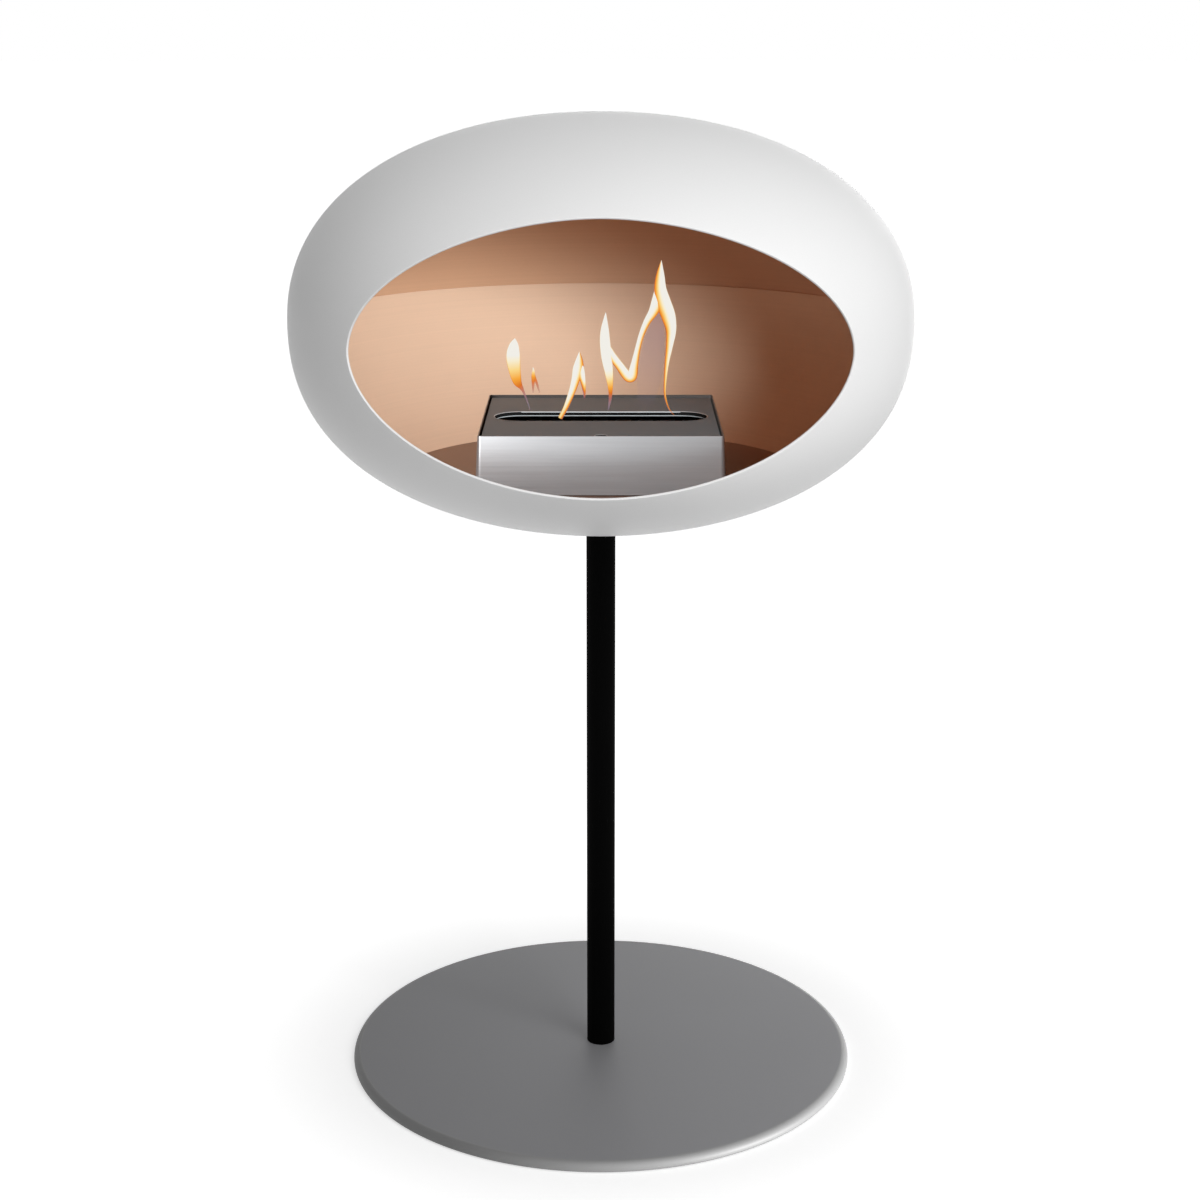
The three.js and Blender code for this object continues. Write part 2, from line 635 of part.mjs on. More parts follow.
const footX = BURNER_WIDTH / 2 - BURNER_FOOT_INSET;
const footY = BURNER_DEPTH / 2 - BURNER_FOOT_INSET;
for (const [sideName, signX] of [['left', -1], ['right', 1]]) {
  for (const [endName, signY] of [['front', -1], ['back', 1]]) {
    const foot = place(`burner_foot_${endName}_${sideName}`, burnerFootSolid(), FINISHES.rubber);
    foot.position.set(signX * footX, signY * footY, burnerFoot);
  }
}

export default fireplace;
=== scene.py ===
"""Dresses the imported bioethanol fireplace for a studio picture, in Blender 4.5.

Metres, +Z up, the mouth of the dome towards -Y. Every piece keeps the place of the
CAD node that it stands for.
"""

import logging
import math
from collections.abc import Callable, Sequence
from dataclasses import asdict, dataclass, field, replace
from enum import Enum
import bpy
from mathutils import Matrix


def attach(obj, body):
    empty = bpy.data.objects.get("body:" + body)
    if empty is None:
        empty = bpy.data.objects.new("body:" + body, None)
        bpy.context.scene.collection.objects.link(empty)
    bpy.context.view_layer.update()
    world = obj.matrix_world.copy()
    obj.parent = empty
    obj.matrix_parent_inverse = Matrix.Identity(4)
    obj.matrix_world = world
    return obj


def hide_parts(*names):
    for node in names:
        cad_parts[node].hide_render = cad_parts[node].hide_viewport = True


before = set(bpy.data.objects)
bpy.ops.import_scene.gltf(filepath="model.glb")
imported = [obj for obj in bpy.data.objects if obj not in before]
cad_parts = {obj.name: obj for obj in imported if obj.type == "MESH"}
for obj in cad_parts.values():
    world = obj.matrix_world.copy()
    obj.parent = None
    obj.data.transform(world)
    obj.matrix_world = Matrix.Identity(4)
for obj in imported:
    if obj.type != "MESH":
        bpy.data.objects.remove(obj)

from types import SimpleNamespace

import bmesh
import bpy
from mathutils import Vector

LOG = logging.getLogger("fireplace")
MM = 0.001
QUARTER = math.pi / 2
WELD = 2e-6                 # points closer than this are one point
SHARP = math.radians(38)    # edges steeper than this stay crisp
EDGE_SHARE = 0.45           # of an edge, at most, goes into the rounding of its corner
JUST_OVER_ONE = 1.00001     # keeps a share of nothing from being divided by nothing
NEARLY_ONE = 0.9999         # the last row of a sheet, whatever the rounding of numbers

Point2 = tuple[float, float]
Point3 = tuple[float, float, float]
Colour = tuple[float, float, float]
Loop = list[Point2]
OutlineOf = Callable[[float], Loop]


class Body(Enum):
    """The CAD bodies that a piece can ride on."""

    STAND = "stand"
    BURNER = "burner"
    TOP_PLATE = "top_plate"


class Ends(Enum):
    """How a moulded profile closes."""

    RING = "the last point joins the first"
    CAPPED = "flat faces close both ends"


# ---- Node trees written as formulas ---------------------------------------------------------


def plug(tree: bpy.types.NodeTree, value: object, socket: bpy.types.NodeSocket) -> None:
    """Gives a socket a value or a link.

    Args:
        tree: The tree that holds the socket.
        value: A Field, an output socket, or a plain value.
        socket: The input socket.
    """
    if isinstance(value, Field):
        tree.links.new(value.source, socket)
    elif isinstance(value, bpy.types.NodeSocket):
        tree.links.new(value, socket)
    else:
        socket.default_value = value


class Field:
    """A number that flows through a node tree, so that a formula reads as a formula."""

    def __init__(self, tree: bpy.types.NodeTree, source: bpy.types.NodeSocket) -> None:
        """Keeps the tree and the socket that the number comes from."""
        self.tree = tree
        self.source = source

    def _math(self, operation: str, *operands: object) -> "Field":
        """Adds a Math node.

        Args:
            operation: The node's operation.
            operands: Its inputs in order.

        Returns:
            The node's result.
        """
        node = self.tree.nodes.new("ShaderNodeMath")
        node.operation = operation
        for socket, operand in zip(node.inputs, operands):
            plug(self.tree, operand, socket)
        return Field(self.tree, node.outputs[0])

    def __add__(self, other: object) -> "Field":
        """Sum."""
        return self._math("ADD", self, other)

    __radd__ = __add__

    def __sub__(self, other: object) -> "Field":
        """Difference."""
        return self._math("SUBTRACT", self, other)

    def __rsub__(self, other: object) -> "Field":
        """Difference from a plain number."""
        return self._math("SUBTRACT", other, self)

    def __mul__(self, other: object) -> "Field":
        """Product."""
        return self._math("MULTIPLY", self, other)

    __rmul__ = __mul__

    def __truediv__(self, other: object) -> "Field":
        """Quotient."""
        return self._math("DIVIDE", self, other)

    def __rtruediv__(self, other: object) -> "Field":
        """Quotient of a plain number."""
        return self._math("DIVIDE", other, self)

    def __pow__(self, other: object) -> "Field":
        """Power."""
        return self._math("POWER", self, other)

    def __neg__(self) -> "Field":
        """Opposite."""
        return self._math("MULTIPLY", self, -1.0)

    def __abs__(self) -> "Field":
        """Size without the sign."""
        return self._math("ABSOLUTE", self)

    def above(self, other: object) -> "Field":
        """One where this is greater, otherwise nought."""
        return self._math("GREATER_THAN", self, other)

    def most(self, other: object) -> "Field":
        """The greater of two numbers."""
        return self._math("MAXIMUM", self, other)

    def least(self, other: object) -> "Field":
        """The smaller of two numbers."""
        return self._math("MINIMUM", self, other)

    def sign(self) -> "Field":
        """Minus one, nought or one."""
        return self._math("SIGN", self)

    def root(self) -> "Field":
        """Square root."""
        return self._math("SQRT", self)

    def sine(self) -> "Field":
        """Sine."""
        return self._math("SINE", self)

    def cosine(self) -> "Field":
        """Cosine."""
        return self._math("COSINE", self)

    def arc_cosine(self) -> "Field":
        """Angle of a cosine."""
        return self._math("ARCCOSINE", self)

    def signed_power(self, power: object) -> "Field":
        """A power that keeps the sign."""
        return self.sign() * abs(self) ** power

    def between(self, low: object, high: object) -> "Field":
        """The value between two others that this share gives."""
        return low + (high - low) * self

    def around(self, middle: float, spread: float) -> "Field":
        """The value that this share gives, from a spread under a middle to as much over it."""
        return self.between(middle - spread, middle + spread)


@dataclass
class Arrow:
    """A vector of three fields."""

    x: Field
    y: Field
    z: Field

    def __add__(self, other: "Arrow") -> "Arrow":
        """Sum."""
        return Arrow(self.x + other.x, self.y + other.y, self.z + other.z)

    def __mul__(self, size: Field) -> "Arrow":
        """The same direction, longer or shorter."""
        return Arrow(self.x * size, self.y * size, self.z * size)

    def dot(self, other: "Arrow") -> Field:
        """Scalar product."""
        return self.x * other.x + self.y * other.y + self.z * other.z

    def length(self) -> Field:
        """Length."""
        return self.dot(self).root()

    def unit(self) -> "Arrow":
        """The same direction, one long."""
        return self * (1.0 / self.length())


class Sheet:
    """A node tree under construction."""

    def __init__(self, tree: bpy.types.NodeTree) -> None:
        """Starts on an empty tree."""
        self.tree = tree
        tree.nodes.clear()

    def add(self, kind: str, inputs: dict[str, object] | None = None, **settings: object) -> bpy.types.Node:
        """Adds a node.

        Args:
            kind: The node's type.
            inputs: Values or links by the input's name.
            settings: The node's own properties.

        Returns:
            The node.
        """
        node = self.tree.nodes.new(kind)
        for name, value in settings.items():
            setattr(node, name, value)
        for name, value in (inputs or {}).items():
            plug(self.tree, value, node.inputs[name])
        return node

    def number(self, socket: bpy.types.NodeSocket) -> Field:
        """A socket as a field."""
        return Field(self.tree, socket)

    def parts(self, vector: bpy.types.NodeSocket) -> tuple[Field, Field, Field]:
        """A vector's three parts."""
        outputs = self.add("ShaderNodeSeparateXYZ", {"Vector": vector}).outputs
        return tuple(Field(self.tree, outputs[i]) for i in range(3))

    def vector(self, x: object, y: object, z: object) -> bpy.types.NodeSocket:
        """A vector from three parts."""
        return self.add("ShaderNodeCombineXYZ", {"X": x, "Y": y, "Z": z}).outputs[0]


class Recipe(Sheet):
    """A Geometry Nodes tree with named inputs, which makes one mesh."""

    def __init__(self, name: str) -> None:
        """Starts the tree.

        Args:
            name: The tree's name.
        """
        super().__init__(bpy.data.node_groups.new(name, "GeometryNodeTree"))
        self.tree.interface.new_socket("Geometry", in_out="OUTPUT", socket_type="NodeSocketGeometry")
        self.entry = self.tree.nodes.new("NodeGroupInput")
        self.values: dict[str, object] = {}

    def _input(self, name: str, value: object, socket_type: str) -> bpy.types.NodeSocket:
        """Adds a named input and keeps its value for the modifier.

        Args:
            name: The input's name.
            value: Its value.
            socket_type: The kind of socket.

        Returns:
            The socket that gives the value inside the tree.
        """
        item = self.tree.interface.new_socket(name, in_out="INPUT", socket_type=socket_type)
        self.values[item.identifier] = value
        return self.entry.outputs[item.identifier]

    def size(self, name: str, value: float) -> Field:
        """A named length, angle or share."""
        return Field(self.tree, self._input(name, float(value), "NodeSocketFloat"))

    def count(self, name: str, value: int) -> bpy.types.NodeSocket:
        """A named whole number."""
        return self._input(name, int(value), "NodeSocketInt")

    def mesh(self, geometry: bpy.types.NodeSocket, material: bpy.types.Material) -> bpy.types.Mesh:
        """Ends the tree and evaluates it.

        Args:
            geometry: The last geometry.
            material: The material of the whole mesh.

        Returns:
            A plain mesh with its normals outwards.
        """
        finish = self._input("Material", material, "NodeSocketMaterial")
        real = self.add("GeometryNodeRealizeInstances", {"Geometry": geometry}).outputs[0]
        dressed = self.add("GeometryNodeSetMaterial", {"Geometry": real, "Material": finish}).outputs[0]
        group_exit = self.tree.nodes.new("NodeGroupOutput")
        self.tree.links.new(dressed, group_exit.inputs[0])
        holder = bpy.data.objects.new(self.tree.name, bpy.data.meshes.new(self.tree.name))
        bpy.context.scene.collection.objects.link(holder)
        modifier = holder.modifiers.new("Recipe", "NODES")
        modifier.node_group = self.tree
        for identifier, value in self.values.items():
            modifier[identifier] = value
        graph = bpy.context.evaluated_depsgraph_get()
        result = bpy.data.meshes.new_from_object(holder.evaluated_get(graph), depsgraph=graph)
        holder.modifiers.remove(modifier)
        bpy.data.objects.remove(holder)
        return facing_out(result)


# ---- Meshes ---------------------------------------------------------------------------------


def facing_out(mesh: bpy.types.Mesh) -> bpy.types.Mesh:
    """Merges doubles and turns the faces of a closed mesh outwards.

    Args:
        mesh: The mesh, changed in place.

    Returns:
        The same mesh.
    """
    work = bmesh.new()
    work.from_mesh(mesh)
    bmesh.ops.remove_doubles(work, verts=work.verts, dist=WELD)
    bmesh.ops.dissolve_degenerate(work, edges=work.edges, dist=WELD)
    bmesh.ops.recalc_face_normals(work, faces=work.faces)
    work.to_mesh(mesh)
    work.free()
    return mesh


def piece(
    name: str,
    mesh: bpy.types.Mesh,
    body: Body,
    nodes: Sequence[str] = (),
) -> bpy.types.Object:
    """Shows a mesh as a piece of the object.

    Args:
        name: The piece's name.
        mesh: Its mesh, already in place and with its material.
        body: The CAD body that it rides on.
        nodes: The CAD nodes that it stands for.

    Returns:
        The new object.
    """
    mesh.name = name
    mesh.shade_smooth()
    mesh.set_sharp_from_angle(angle=SHARP)
    made = bpy.data.objects.new(name, mesh)
    bpy.context.scene.collection.objects.link(made)
    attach(made, body.value)
    if nodes:
        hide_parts(*nodes)
    LOG.info("%s: %d faces, on %s", name, len(mesh.polygons), body.value)
    return made


def softened(profile: Loop, rounding: float, closed: bool = False, steps: int = 3) -> Loop:
    """Rounds every corner of a profile.

    Args:
        profile: Points of the profile.
        rounding: How far from a corner its rounding starts.
        closed: Whether the last point joins the first.
        steps: Facets of each rounding.

    Returns:
        The profile with a short curve in place of each corner.
    """
    count = len(profile)
    rounded: Loop = []
    for i, corner in enumerate(profile):
        if not closed and i in (0, count - 1):
            rounded.append(corner)
            continue
        here = Vector(corner)
        before = Vector(profile[i - 1]) - here
        after = Vector(profile[(i + 1) % count]) - here
        reach_before = min(rounding, before.length * EDGE_SHARE)
        reach_after = min(rounding, after.length * EDGE_SHARE)
        start = here + before.normalized() * reach_before
        end = here + after.normalized() * reach_after
        for step in range(steps + 1):
            share = step / steps
            low = start.lerp(here, share)
            high = here.lerp(end, share)
            rounded.append(tuple(low.lerp(high, share)))
    return rounded


def circle(radius: float, segments: int, centre: Point2 = (0.0, 0.0)) -> Loop:
    """Points of a circle in plan."""
    turns = [2 * math.pi * i / segments for i in range(segments)]
    return [(centre[0] + radius * math.cos(a), centre[1] + radius * math.sin(a)) for a in turns]


def rounded_rectangle(half_width: float, half_depth: float, corner: float, steps: int = 8) -> Loop:
    """Points of a rectangle with round corners in plan.

    Args:
        half_width: Half its size along X.
        half_depth: Half its size along Y.
        corner: Radius of its corners.
        steps: Facets of each corner.

    Returns:
        The points, anticlockwise.
    """
    loop: Loop = []
    for quarter, (side_x, side_y) in enumerate([(1, 1), (-1, 1), (-1, -1), (1, -1)]):
        for step in range(steps + 1):
            angle = (quarter + step / steps) * QUARTER
            x = side_x * (half_width - corner) + corner * math.cos(angle)
            y = side_y * (half_depth - corner) + corner * math.sin(angle)
            loop.append((x, y))
    return loop


def long_slot(half_length: float, half_width: float, centre_y: float, steps: int = 24) -> Loop:
    """Points of a slot with round ends in plan.

    Args:
        half_length: Half its length along X, round ends included.
        half_width: Half its width.
        centre_y: Where its middle lies along Y.
        steps: Facets of each end.

    Returns:
        The points, anticlockwise.
    """
    reach = half_length - half_width
    loop: Loop = []
    for side in (1, -1):
        for step in range(steps + 1):
            angle = -side * QUARTER + math.pi * step / steps
            x = side * reach + half_width * math.cos(angle)
            loop.append((x, centre_y + half_width * math.sin(angle)))
    return loop


def rings_of(work: bmesh.types.BMesh, outline: OutlineOf, profile: Loop) -> list[list[bmesh.types.BMVert]]:
    """Adds a ring of points round an outline for each point of a profile.

    Args:
        work: The mesh under construction.
        outline: Gives the plan's points for a distance outwards.
        profile: Points of (distance outwards, height).

    Returns:
        The rings, in the profile's order.
    """
    return [
        [work.verts.new((x, y, height)) for x, y in outline(outwards)]
        for outwards, height in profile
    ]


def bridge(work: bmesh.types.BMesh, rings: Sequence[Sequence[bmesh.types.BMVert]]) -> None:
    """Joins each ring of points to the next one with faces.

    Args:
        work: The mesh under construction.
        rings: Rings with the same number of points.
    """
    for lower, upper in zip(rings, rings[1:]):
        for i in range(len(lower)):
            after = (i + 1) % len(lower)
            work.faces.new((lower[i], lower[after], upper[after], upper[i]))


def moulded(outline: OutlineOf, profile: Loop, ends: Ends, material: bpy.types.Material) -> bpy.types.Mesh:
    """Runs a profile round an outline, as a lathe does round a circle.

    Args:
        outline: Gives the plan's points for a distance outwards.
        profile: Points of (distance outwards, height).
        ends: How the profile closes.
        material: The material of the whole mesh.

    Returns:
        A closed mesh with its faces outwards.
    """
    work = bmesh.new()
    rings = rings_of(work, outline, profile)
    if ends is Ends.RING:
        rings.append(rings[0])
    else:
        work.faces.new(rings[0])
        work.faces.new(rings[-1])
    bridge(work, rings)
    mesh = bpy.data.meshes.new("moulded")
    work.to_mesh(mesh)
    work.free()
    mesh.materials.append(material)
    return facing_out(mesh)


# ---- Finishes -------------------------------------------------------------------------------


@dataclass(frozen=True)
class Finish:
    """A surface finish. Each kind lays its own nodes."""

    name: str

    def material(self) -> bpy.types.Material:
        """Makes the finish's material, or finds it where it was made before.

        Returns:
            The material.
        """
        known = bpy.data.materials.get(self.name)
        if known:
            return known
        made = bpy.data.materials.new(self.name)
        made.use_nodes = True
        sheet = Sheet(made.node_tree)
        surface = self.lay(sheet)
        sheet.add("ShaderNodeOutputMaterial", {"Surface": surface})
        return made

    def lay(self, sheet: Sheet) -> bpy.types.NodeSocket:
        """Lays the nodes.

        Args:
            sheet: The material's tree.

        Returns:
            The surface.
        """
        raise NotImplementedError


def object_place(sheet: Sheet) -> bpy.types.NodeSocket:
    """The place on the object, in metres."""
    return sheet.add("ShaderNodeTexCoord").outputs["Object"]


def noise(sheet: Sheet, vector: bpy.types.NodeSocket, scale: float, detail: float = 2.0) -> Field:
    """A noise pattern from nought to one."""
    node = sheet.add("ShaderNodeTexNoise", {"Vector": vector, "Scale": scale, "Detail": detail})
    return sheet.number(node.outputs[0])


def mottled(
    sheet: Sheet, share: Field, colour: Colour, darkest: float, lightest: float,
) -> bpy.types.NodeSocket:
    """A colour that a pattern makes darker and lighter.

    Args:
        sheet: The tree.
        share: The pattern: nought where the colour is darkest and one where it is lightest.
        colour: The colour.
        darkest: What the colour is multiplied by where it is darkest.
        lightest: What it is multiplied by where it is lightest.

    Returns:
        The mixed colour.
    """
    node = sheet.add("ShaderNodeMix", data_type="RGBA")
    plug(sheet.tree, share, node.inputs[0])
    for socket, factor in ((node.inputs[6], darkest), (node.inputs[7], lightest)):
        plug(sheet.tree, (*(min(1.0, part * factor) for part in colour), 1.0), socket)
    return node.outputs[2]


def bumped(sheet: Sheet, height: Field, depth: float) -> bpy.types.NodeSocket:
    """A normal that follows a height.

    Args:
        sheet: The tree.
        height: The height from nought to one.
        depth: What a height of one stands for, in metres.

    Returns:
        The normal.
    """
    return sheet.add("ShaderNodeBump", {"Height": height, "Distance": depth}).outputs[0]


@dataclass(frozen=True)
class PowderCoat(Finish):
    """Sprayed paint with a fine grain and slight cloudiness."""

    colour: Colour
    metallic: float = 0.2
    roughness: float = 0.42
    grain: float = 1400.0
    grain_depth: float = 0.03 * MM
    grain_share: float = 0.7
    clouds: float = 9.0
    fleck: float = 0.05
    gloss_spread: float = 0.04
    specular: float = 0.5

    def lay(self, sheet: Sheet) -> bpy.types.NodeSocket:
        """Lays grain in colour and relief, and clouds in gloss.

        Args:
            sheet: The material's tree.

        Returns:
            The surface.
        """
        place = object_place(sheet)
        grain = noise(sheet, place, self.grain, detail=3.0)
        cloud = noise(sheet, place, self.clouds, detail=3.0)
        tone = grain * self.grain_share + cloud * (1 - self.grain_share)
        shader = sheet.add("ShaderNodeBsdfPrincipled", {
            "Base Color": mottled(sheet, tone, self.colour, 1 - self.fleck, 1 + self.fleck),
            "Metallic": self.metallic,
            "Roughness": cloud.around(self.roughness, self.gloss_spread),
            "Specular IOR Level": self.specular,
            "Normal": bumped(sheet, grain, self.grain_depth),
        })
        return shader.outputs[0]


@dataclass(frozen=True)
class SpunLacquer(Finish):
    """Satin metallic lacquer over a spun sheet, with faint turning marks round the Z axis."""

    colour: Colour
    metallic: float = 0.0
    roughness: float = 0.45
    coat: float = 0.1
    coat_roughness: float = 0.38
    marks: float = 620.0
    mark_depth: float = 0.012 * MM
    clouds: float = 14.0
    flecks: float = 1500.0
    ring_share: float = 0.4     # in the tone: of the turning marks, the clouds and the flecks
    cloud_share: float = 0.3
    fleck_share: float = 0.3
    ring_relief: float = 0.6    # of the relief; the flecks have the rest
    tone_spread: float = 0.12
    gloss_spread: float = 0.05

    def lay(self, sheet: Sheet) -> bpy.types.NodeSocket:
        """Lays marks that depend on radius and height alone.

        Args:
            sheet: The material's tree.

        Returns:
            The surface.
        """
        place = object_place(sheet)
        x, y, z = sheet.parts(place)
        radius = (x * x + y * y).root()
        rings = noise(sheet, sheet.vector(radius, z, 0.0), self.marks)
        cloud = noise(sheet, place, self.clouds, detail=3.0)
        fleck = noise(sheet, place, self.flecks)
        tone = rings * self.ring_share + cloud * self.cloud_share + fleck * self.fleck_share
        relief = rings * self.ring_relief + fleck * (1 - self.ring_relief)
        shader = sheet.add("ShaderNodeBsdfPrincipled", {
            "Base Color": mottled(sheet, tone, self.colour, 1 - self.tone_spread, 1 + self.tone_spread),
            "Metallic": self.metallic,
            "Roughness": cloud.around(self.roughness, self.gloss_spread),
            "Coat Weight": self.coat,
            "Coat Roughness": self.coat_roughness,
            "Normal": bumped(sheet, relief, self.mark_depth),
        })
        return shader.outputs[0]


@dataclass(frozen=True)
class BrushedSteel(Finish):
    """Steel with fine brush marks that run round the piece at one height."""

    colour: Colour
    roughness: float = 0.32
    along: Point3 = (14.0, 14.0, 1300.0)
    mark_depth: float = 0.012 * MM
    metallic: float = 1.0
    anisotropy: float = 0.35
    clouds: float = 16.0
    streak_share: float = 0.6   # of the tone; the clouds have the rest
    tone_spread: float = 0.15
    gloss_spread: float = 0.07

    def lay(self, sheet: Sheet) -> bpy.types.NodeSocket:
        """Lays streaks by stretching a noise.

        Args:
            sheet: The material's tree.

        Returns:
            The surface.
        """
        place = object_place(sheet)
        x, y, z = sheet.parts(place)
        stretched = sheet.vector(x * self.along[0], y * self.along[1], z * self.along[2])
        streaks = noise(sheet, stretched, 1.0, detail=4.0)
        cloud = noise(sheet, place, self.clouds)
        tone = streaks * self.streak_share + cloud * (1 - self.streak_share)
        shader = sheet.add("ShaderNodeBsdfPrincipled", {
            "Base Color": mottled(sheet, tone, self.colour, 1 - self.tone_spread, 1 + self.tone_spread),
            "Metallic": self.metallic,
            "Roughness": streaks.around(self.roughness, self.gloss_spread),
            "Anisotropic": self.anisotropy,
            "Normal": bumped(sheet, streaks, self.mark_depth),
        })
        return shader.outputs[0]


@dataclass(frozen=True)
class Rubber(Finish):
    """Matt moulded rubber."""

    colour: Colour = (0.018, 0.018, 0.018)
    grain: float = 900.0
    grain_depth: float = 0.05 * MM
    darkest: float = 0.7
    lightest: float = 1.5
    smoothest: float = 0.7
    roughest: float = 0.85

    def lay(self, sheet: Sheet) -> bpy.types.NodeSocket:
        """Lays a faint moulded grain.

        Args:
            sheet: The material's tree.

        Returns:
            The surface.
        """
        grain = noise(sheet, object_place(sheet), self.grain, detail=3.0)
        shader = sheet.add("ShaderNodeBsdfPrincipled", {
            "Base Color": mottled(sheet, grain, self.colour, self.darkest, self.lightest),
            "Roughness": grain.between(self.smoothest, self.roughest),
            "Normal": bumped(sheet, grain, self.grain_depth),
        })
        return shader.outputs[0]


@dataclass(frozen=True)
class Fibre(Finish):
    """Pressed fibres: felt, or a ceramic mat."""

    colour: Colour
    strand: float = 500.0
    curl: float = 2.5
    clumps: float = 60.0
    strand_share: float = 0.7   # of the tone; the clumps have the rest
    darkest: float = 0.6
    lightest: float = 1.3
    relief: float = 0.3 * MM
    roughness: float = 0.95
    sheen: float = 0.3

    def lay(self, sheet: Sheet) -> bpy.types.NodeSocket:
        """Lays strands from a distorted noise, and soft clumps.

        Args:
            sheet: The material's tree.

        Returns:
            The surface.
        """
        place = object_place(sheet)
        strands = sheet.add("ShaderNodeTexNoise", {
            "Vector": place, "Scale": self.strand, "Detail": 4.0, "Distortion": self.curl,
        }).outputs[0]
        clumps = noise(sheet, place, self.clumps, detail=3.0)
        tone = sheet.number(strands) * self.strand_share + clumps * (1 - self.strand_share)
        shader = sheet.add("ShaderNodeBsdfPrincipled", {
            "Base Color": mottled(sheet, tone, self.colour, self.darkest, self.lightest),
            "Roughness": self.roughness,
            "Sheen Weight": self.sheen,
            "Normal": bumped(sheet, tone, self.relief),
        })
        return shader.outputs[0]


@dataclass(frozen=True)
class Burning(Finish):
    """Glowing gas: the mesh carries its heat and how dense it is."""

    strength: float = 1.0
    stops: tuple[tuple[float, Colour], ...] = (
        (0.0, (0.30, 0.25, 0.36)),
        (0.1, (0.44, 0.16, 0.14)),
        (0.22, (0.72, 0.16, 0.015)),
        (0.38, (0.93, 0.40, 0.05)),
        (0.55, (0.95, 0.68, 0.25)),
        (0.72, (0.93, 0.84, 0.62)),
        (0.88, (0.88, 0.86, 0.80)),
    )

    def lay(self, sheet: Sheet) -> bpy.types.NodeSocket:
        """Lays colours by heat, over clear air.

        Args:
            sheet: The material's tree.

        Returns:
            The surface.
        """
        heat = sheet.add("ShaderNodeAttribute", attribute_name="warmth").outputs["Fac"]
        dense = sheet.add("ShaderNodeAttribute", attribute_name="thickness").outputs["Fac"]
        ramp = sheet.add("ShaderNodeValToRGB", {"Fac": heat})
        elements = ramp.color_ramp.elements
        elements.remove(elements[1])
        elements[0].color = (*self.stops[0][1], 1.0)
        for place, colour in self.stops[1:]:
            elements.new(place).color = (*colour, 1.0)
        glow = sheet.add("ShaderNodeEmission", {"Color": ramp.outputs[0], "Strength": self.strength})
        clear = sheet.add("ShaderNodeBsdfTransparent")
        mixed = sheet.add("ShaderNodeMixShader")
        plug(sheet.tree, dense, mixed.inputs[0])
        plug(sheet.tree, clear.outputs[0], mixed.inputs[1])
        plug(sheet.tree, glow.outputs[0], mixed.inputs[2])
        return mixed.outputs[0]


SHELL_PAINT = PowderCoat("Dome paint", (0.76, 0.76, 0.76), metallic=0.0, roughness=0.45, specular=0.3)
COPPER_LACQUER = SpunLacquer("Copper lacquer", (0.79, 0.52, 0.365))
# Painted shade: the cap's copper is the band's copper made darker, for the shade on the ceiling above the
# equator's crease.
SHADED_CAP_LACQUER = SpunLacquer("Cap copper lacquer with painted shade", (0.64, 0.355, 0.215))
# Painted shade: the floor plate's copper is the band's copper made much darker, for the shade over the
# hearth's floor.
SHADED_FLOOR_LACQUER = SpunLacquer("Floor copper lacquer with painted shade", (0.28, 0.14, 0.09))
GREY_LACQUER = PowderCoat(
    "Grey lacquer", (0.205, 0.205, 0.212), metallic=0.1, roughness=0.62, fleck=0.08, specular=0.25,
)
RIM_LACQUER = PowderCoat(
    "Rubbed rim", (0.21, 0.21, 0.21), metallic=0.15, roughness=0.55, fleck=0.08, specular=0.3,
)
BLACK_PAINT = PowderCoat(
    "Black paint", (0.0015, 0.0015, 0.0015), metallic=0.0, roughness=0.75, fleck=0.3, specular=0.02,
)
CASING_STEEL = BrushedSteel("Casing steel", (0.43, 0.44, 0.455), roughness=0.36, metallic=0.5)
# Painted highlight: bright steel on the edges of the slot and of the hook hole.
EDGE_HIGHLIGHT_STEEL = BrushedSteel("Bright edge, painted highlight", (0.80, 0.80, 0.80), roughness=0.4, metallic=0.3)
# Painted shade: a near-black wall inside the slot.
SLOT_SHADE_BLACK = PowderCoat("Black slot wall, painted shade", (0.012, 0.011, 0.011), metallic=0.0, roughness=0.8, specular=0.1)
TANK_STEEL = BrushedSteel("Heat-darkened steel", (0.09, 0.085, 0.08), roughness=0.5, metallic=0.7)
# Painted shade: the grid's steel is made dark, for the shade inside the slot.
SHADED_GRID_STEEL = BrushedSteel("Grid steel with painted shade", (0.16, 0.15, 0.14), roughness=0.5, along=(20.0, 1100.0, 1100.0))
DARK_STEEL = PowderCoat(
    "Dark steel", (0.26, 0.305, 0.33), metallic=0.1, roughness=0.55, fleck=0.06, specular=0.3,
)
ZINC = BrushedSteel("Zinc plate", (0.55, 0.56, 0.57), roughness=0.42, along=(300.0, 300.0, 300.0))
RUBBER = Rubber("Black rubber")
FELT = Fibre("Grey felt", (0.03, 0.03, 0.03), strand=900.0, relief=0.2 * MM)
CERAMIC = Fibre("Ceramic fibre", (0.62, 0.60, 0.55), strand=420.0, relief=0.5 * MM, sheen=0.1)
FLAME = Burning("Burning gas")


# ---- Base and pole --------------------------------------------------------------------------


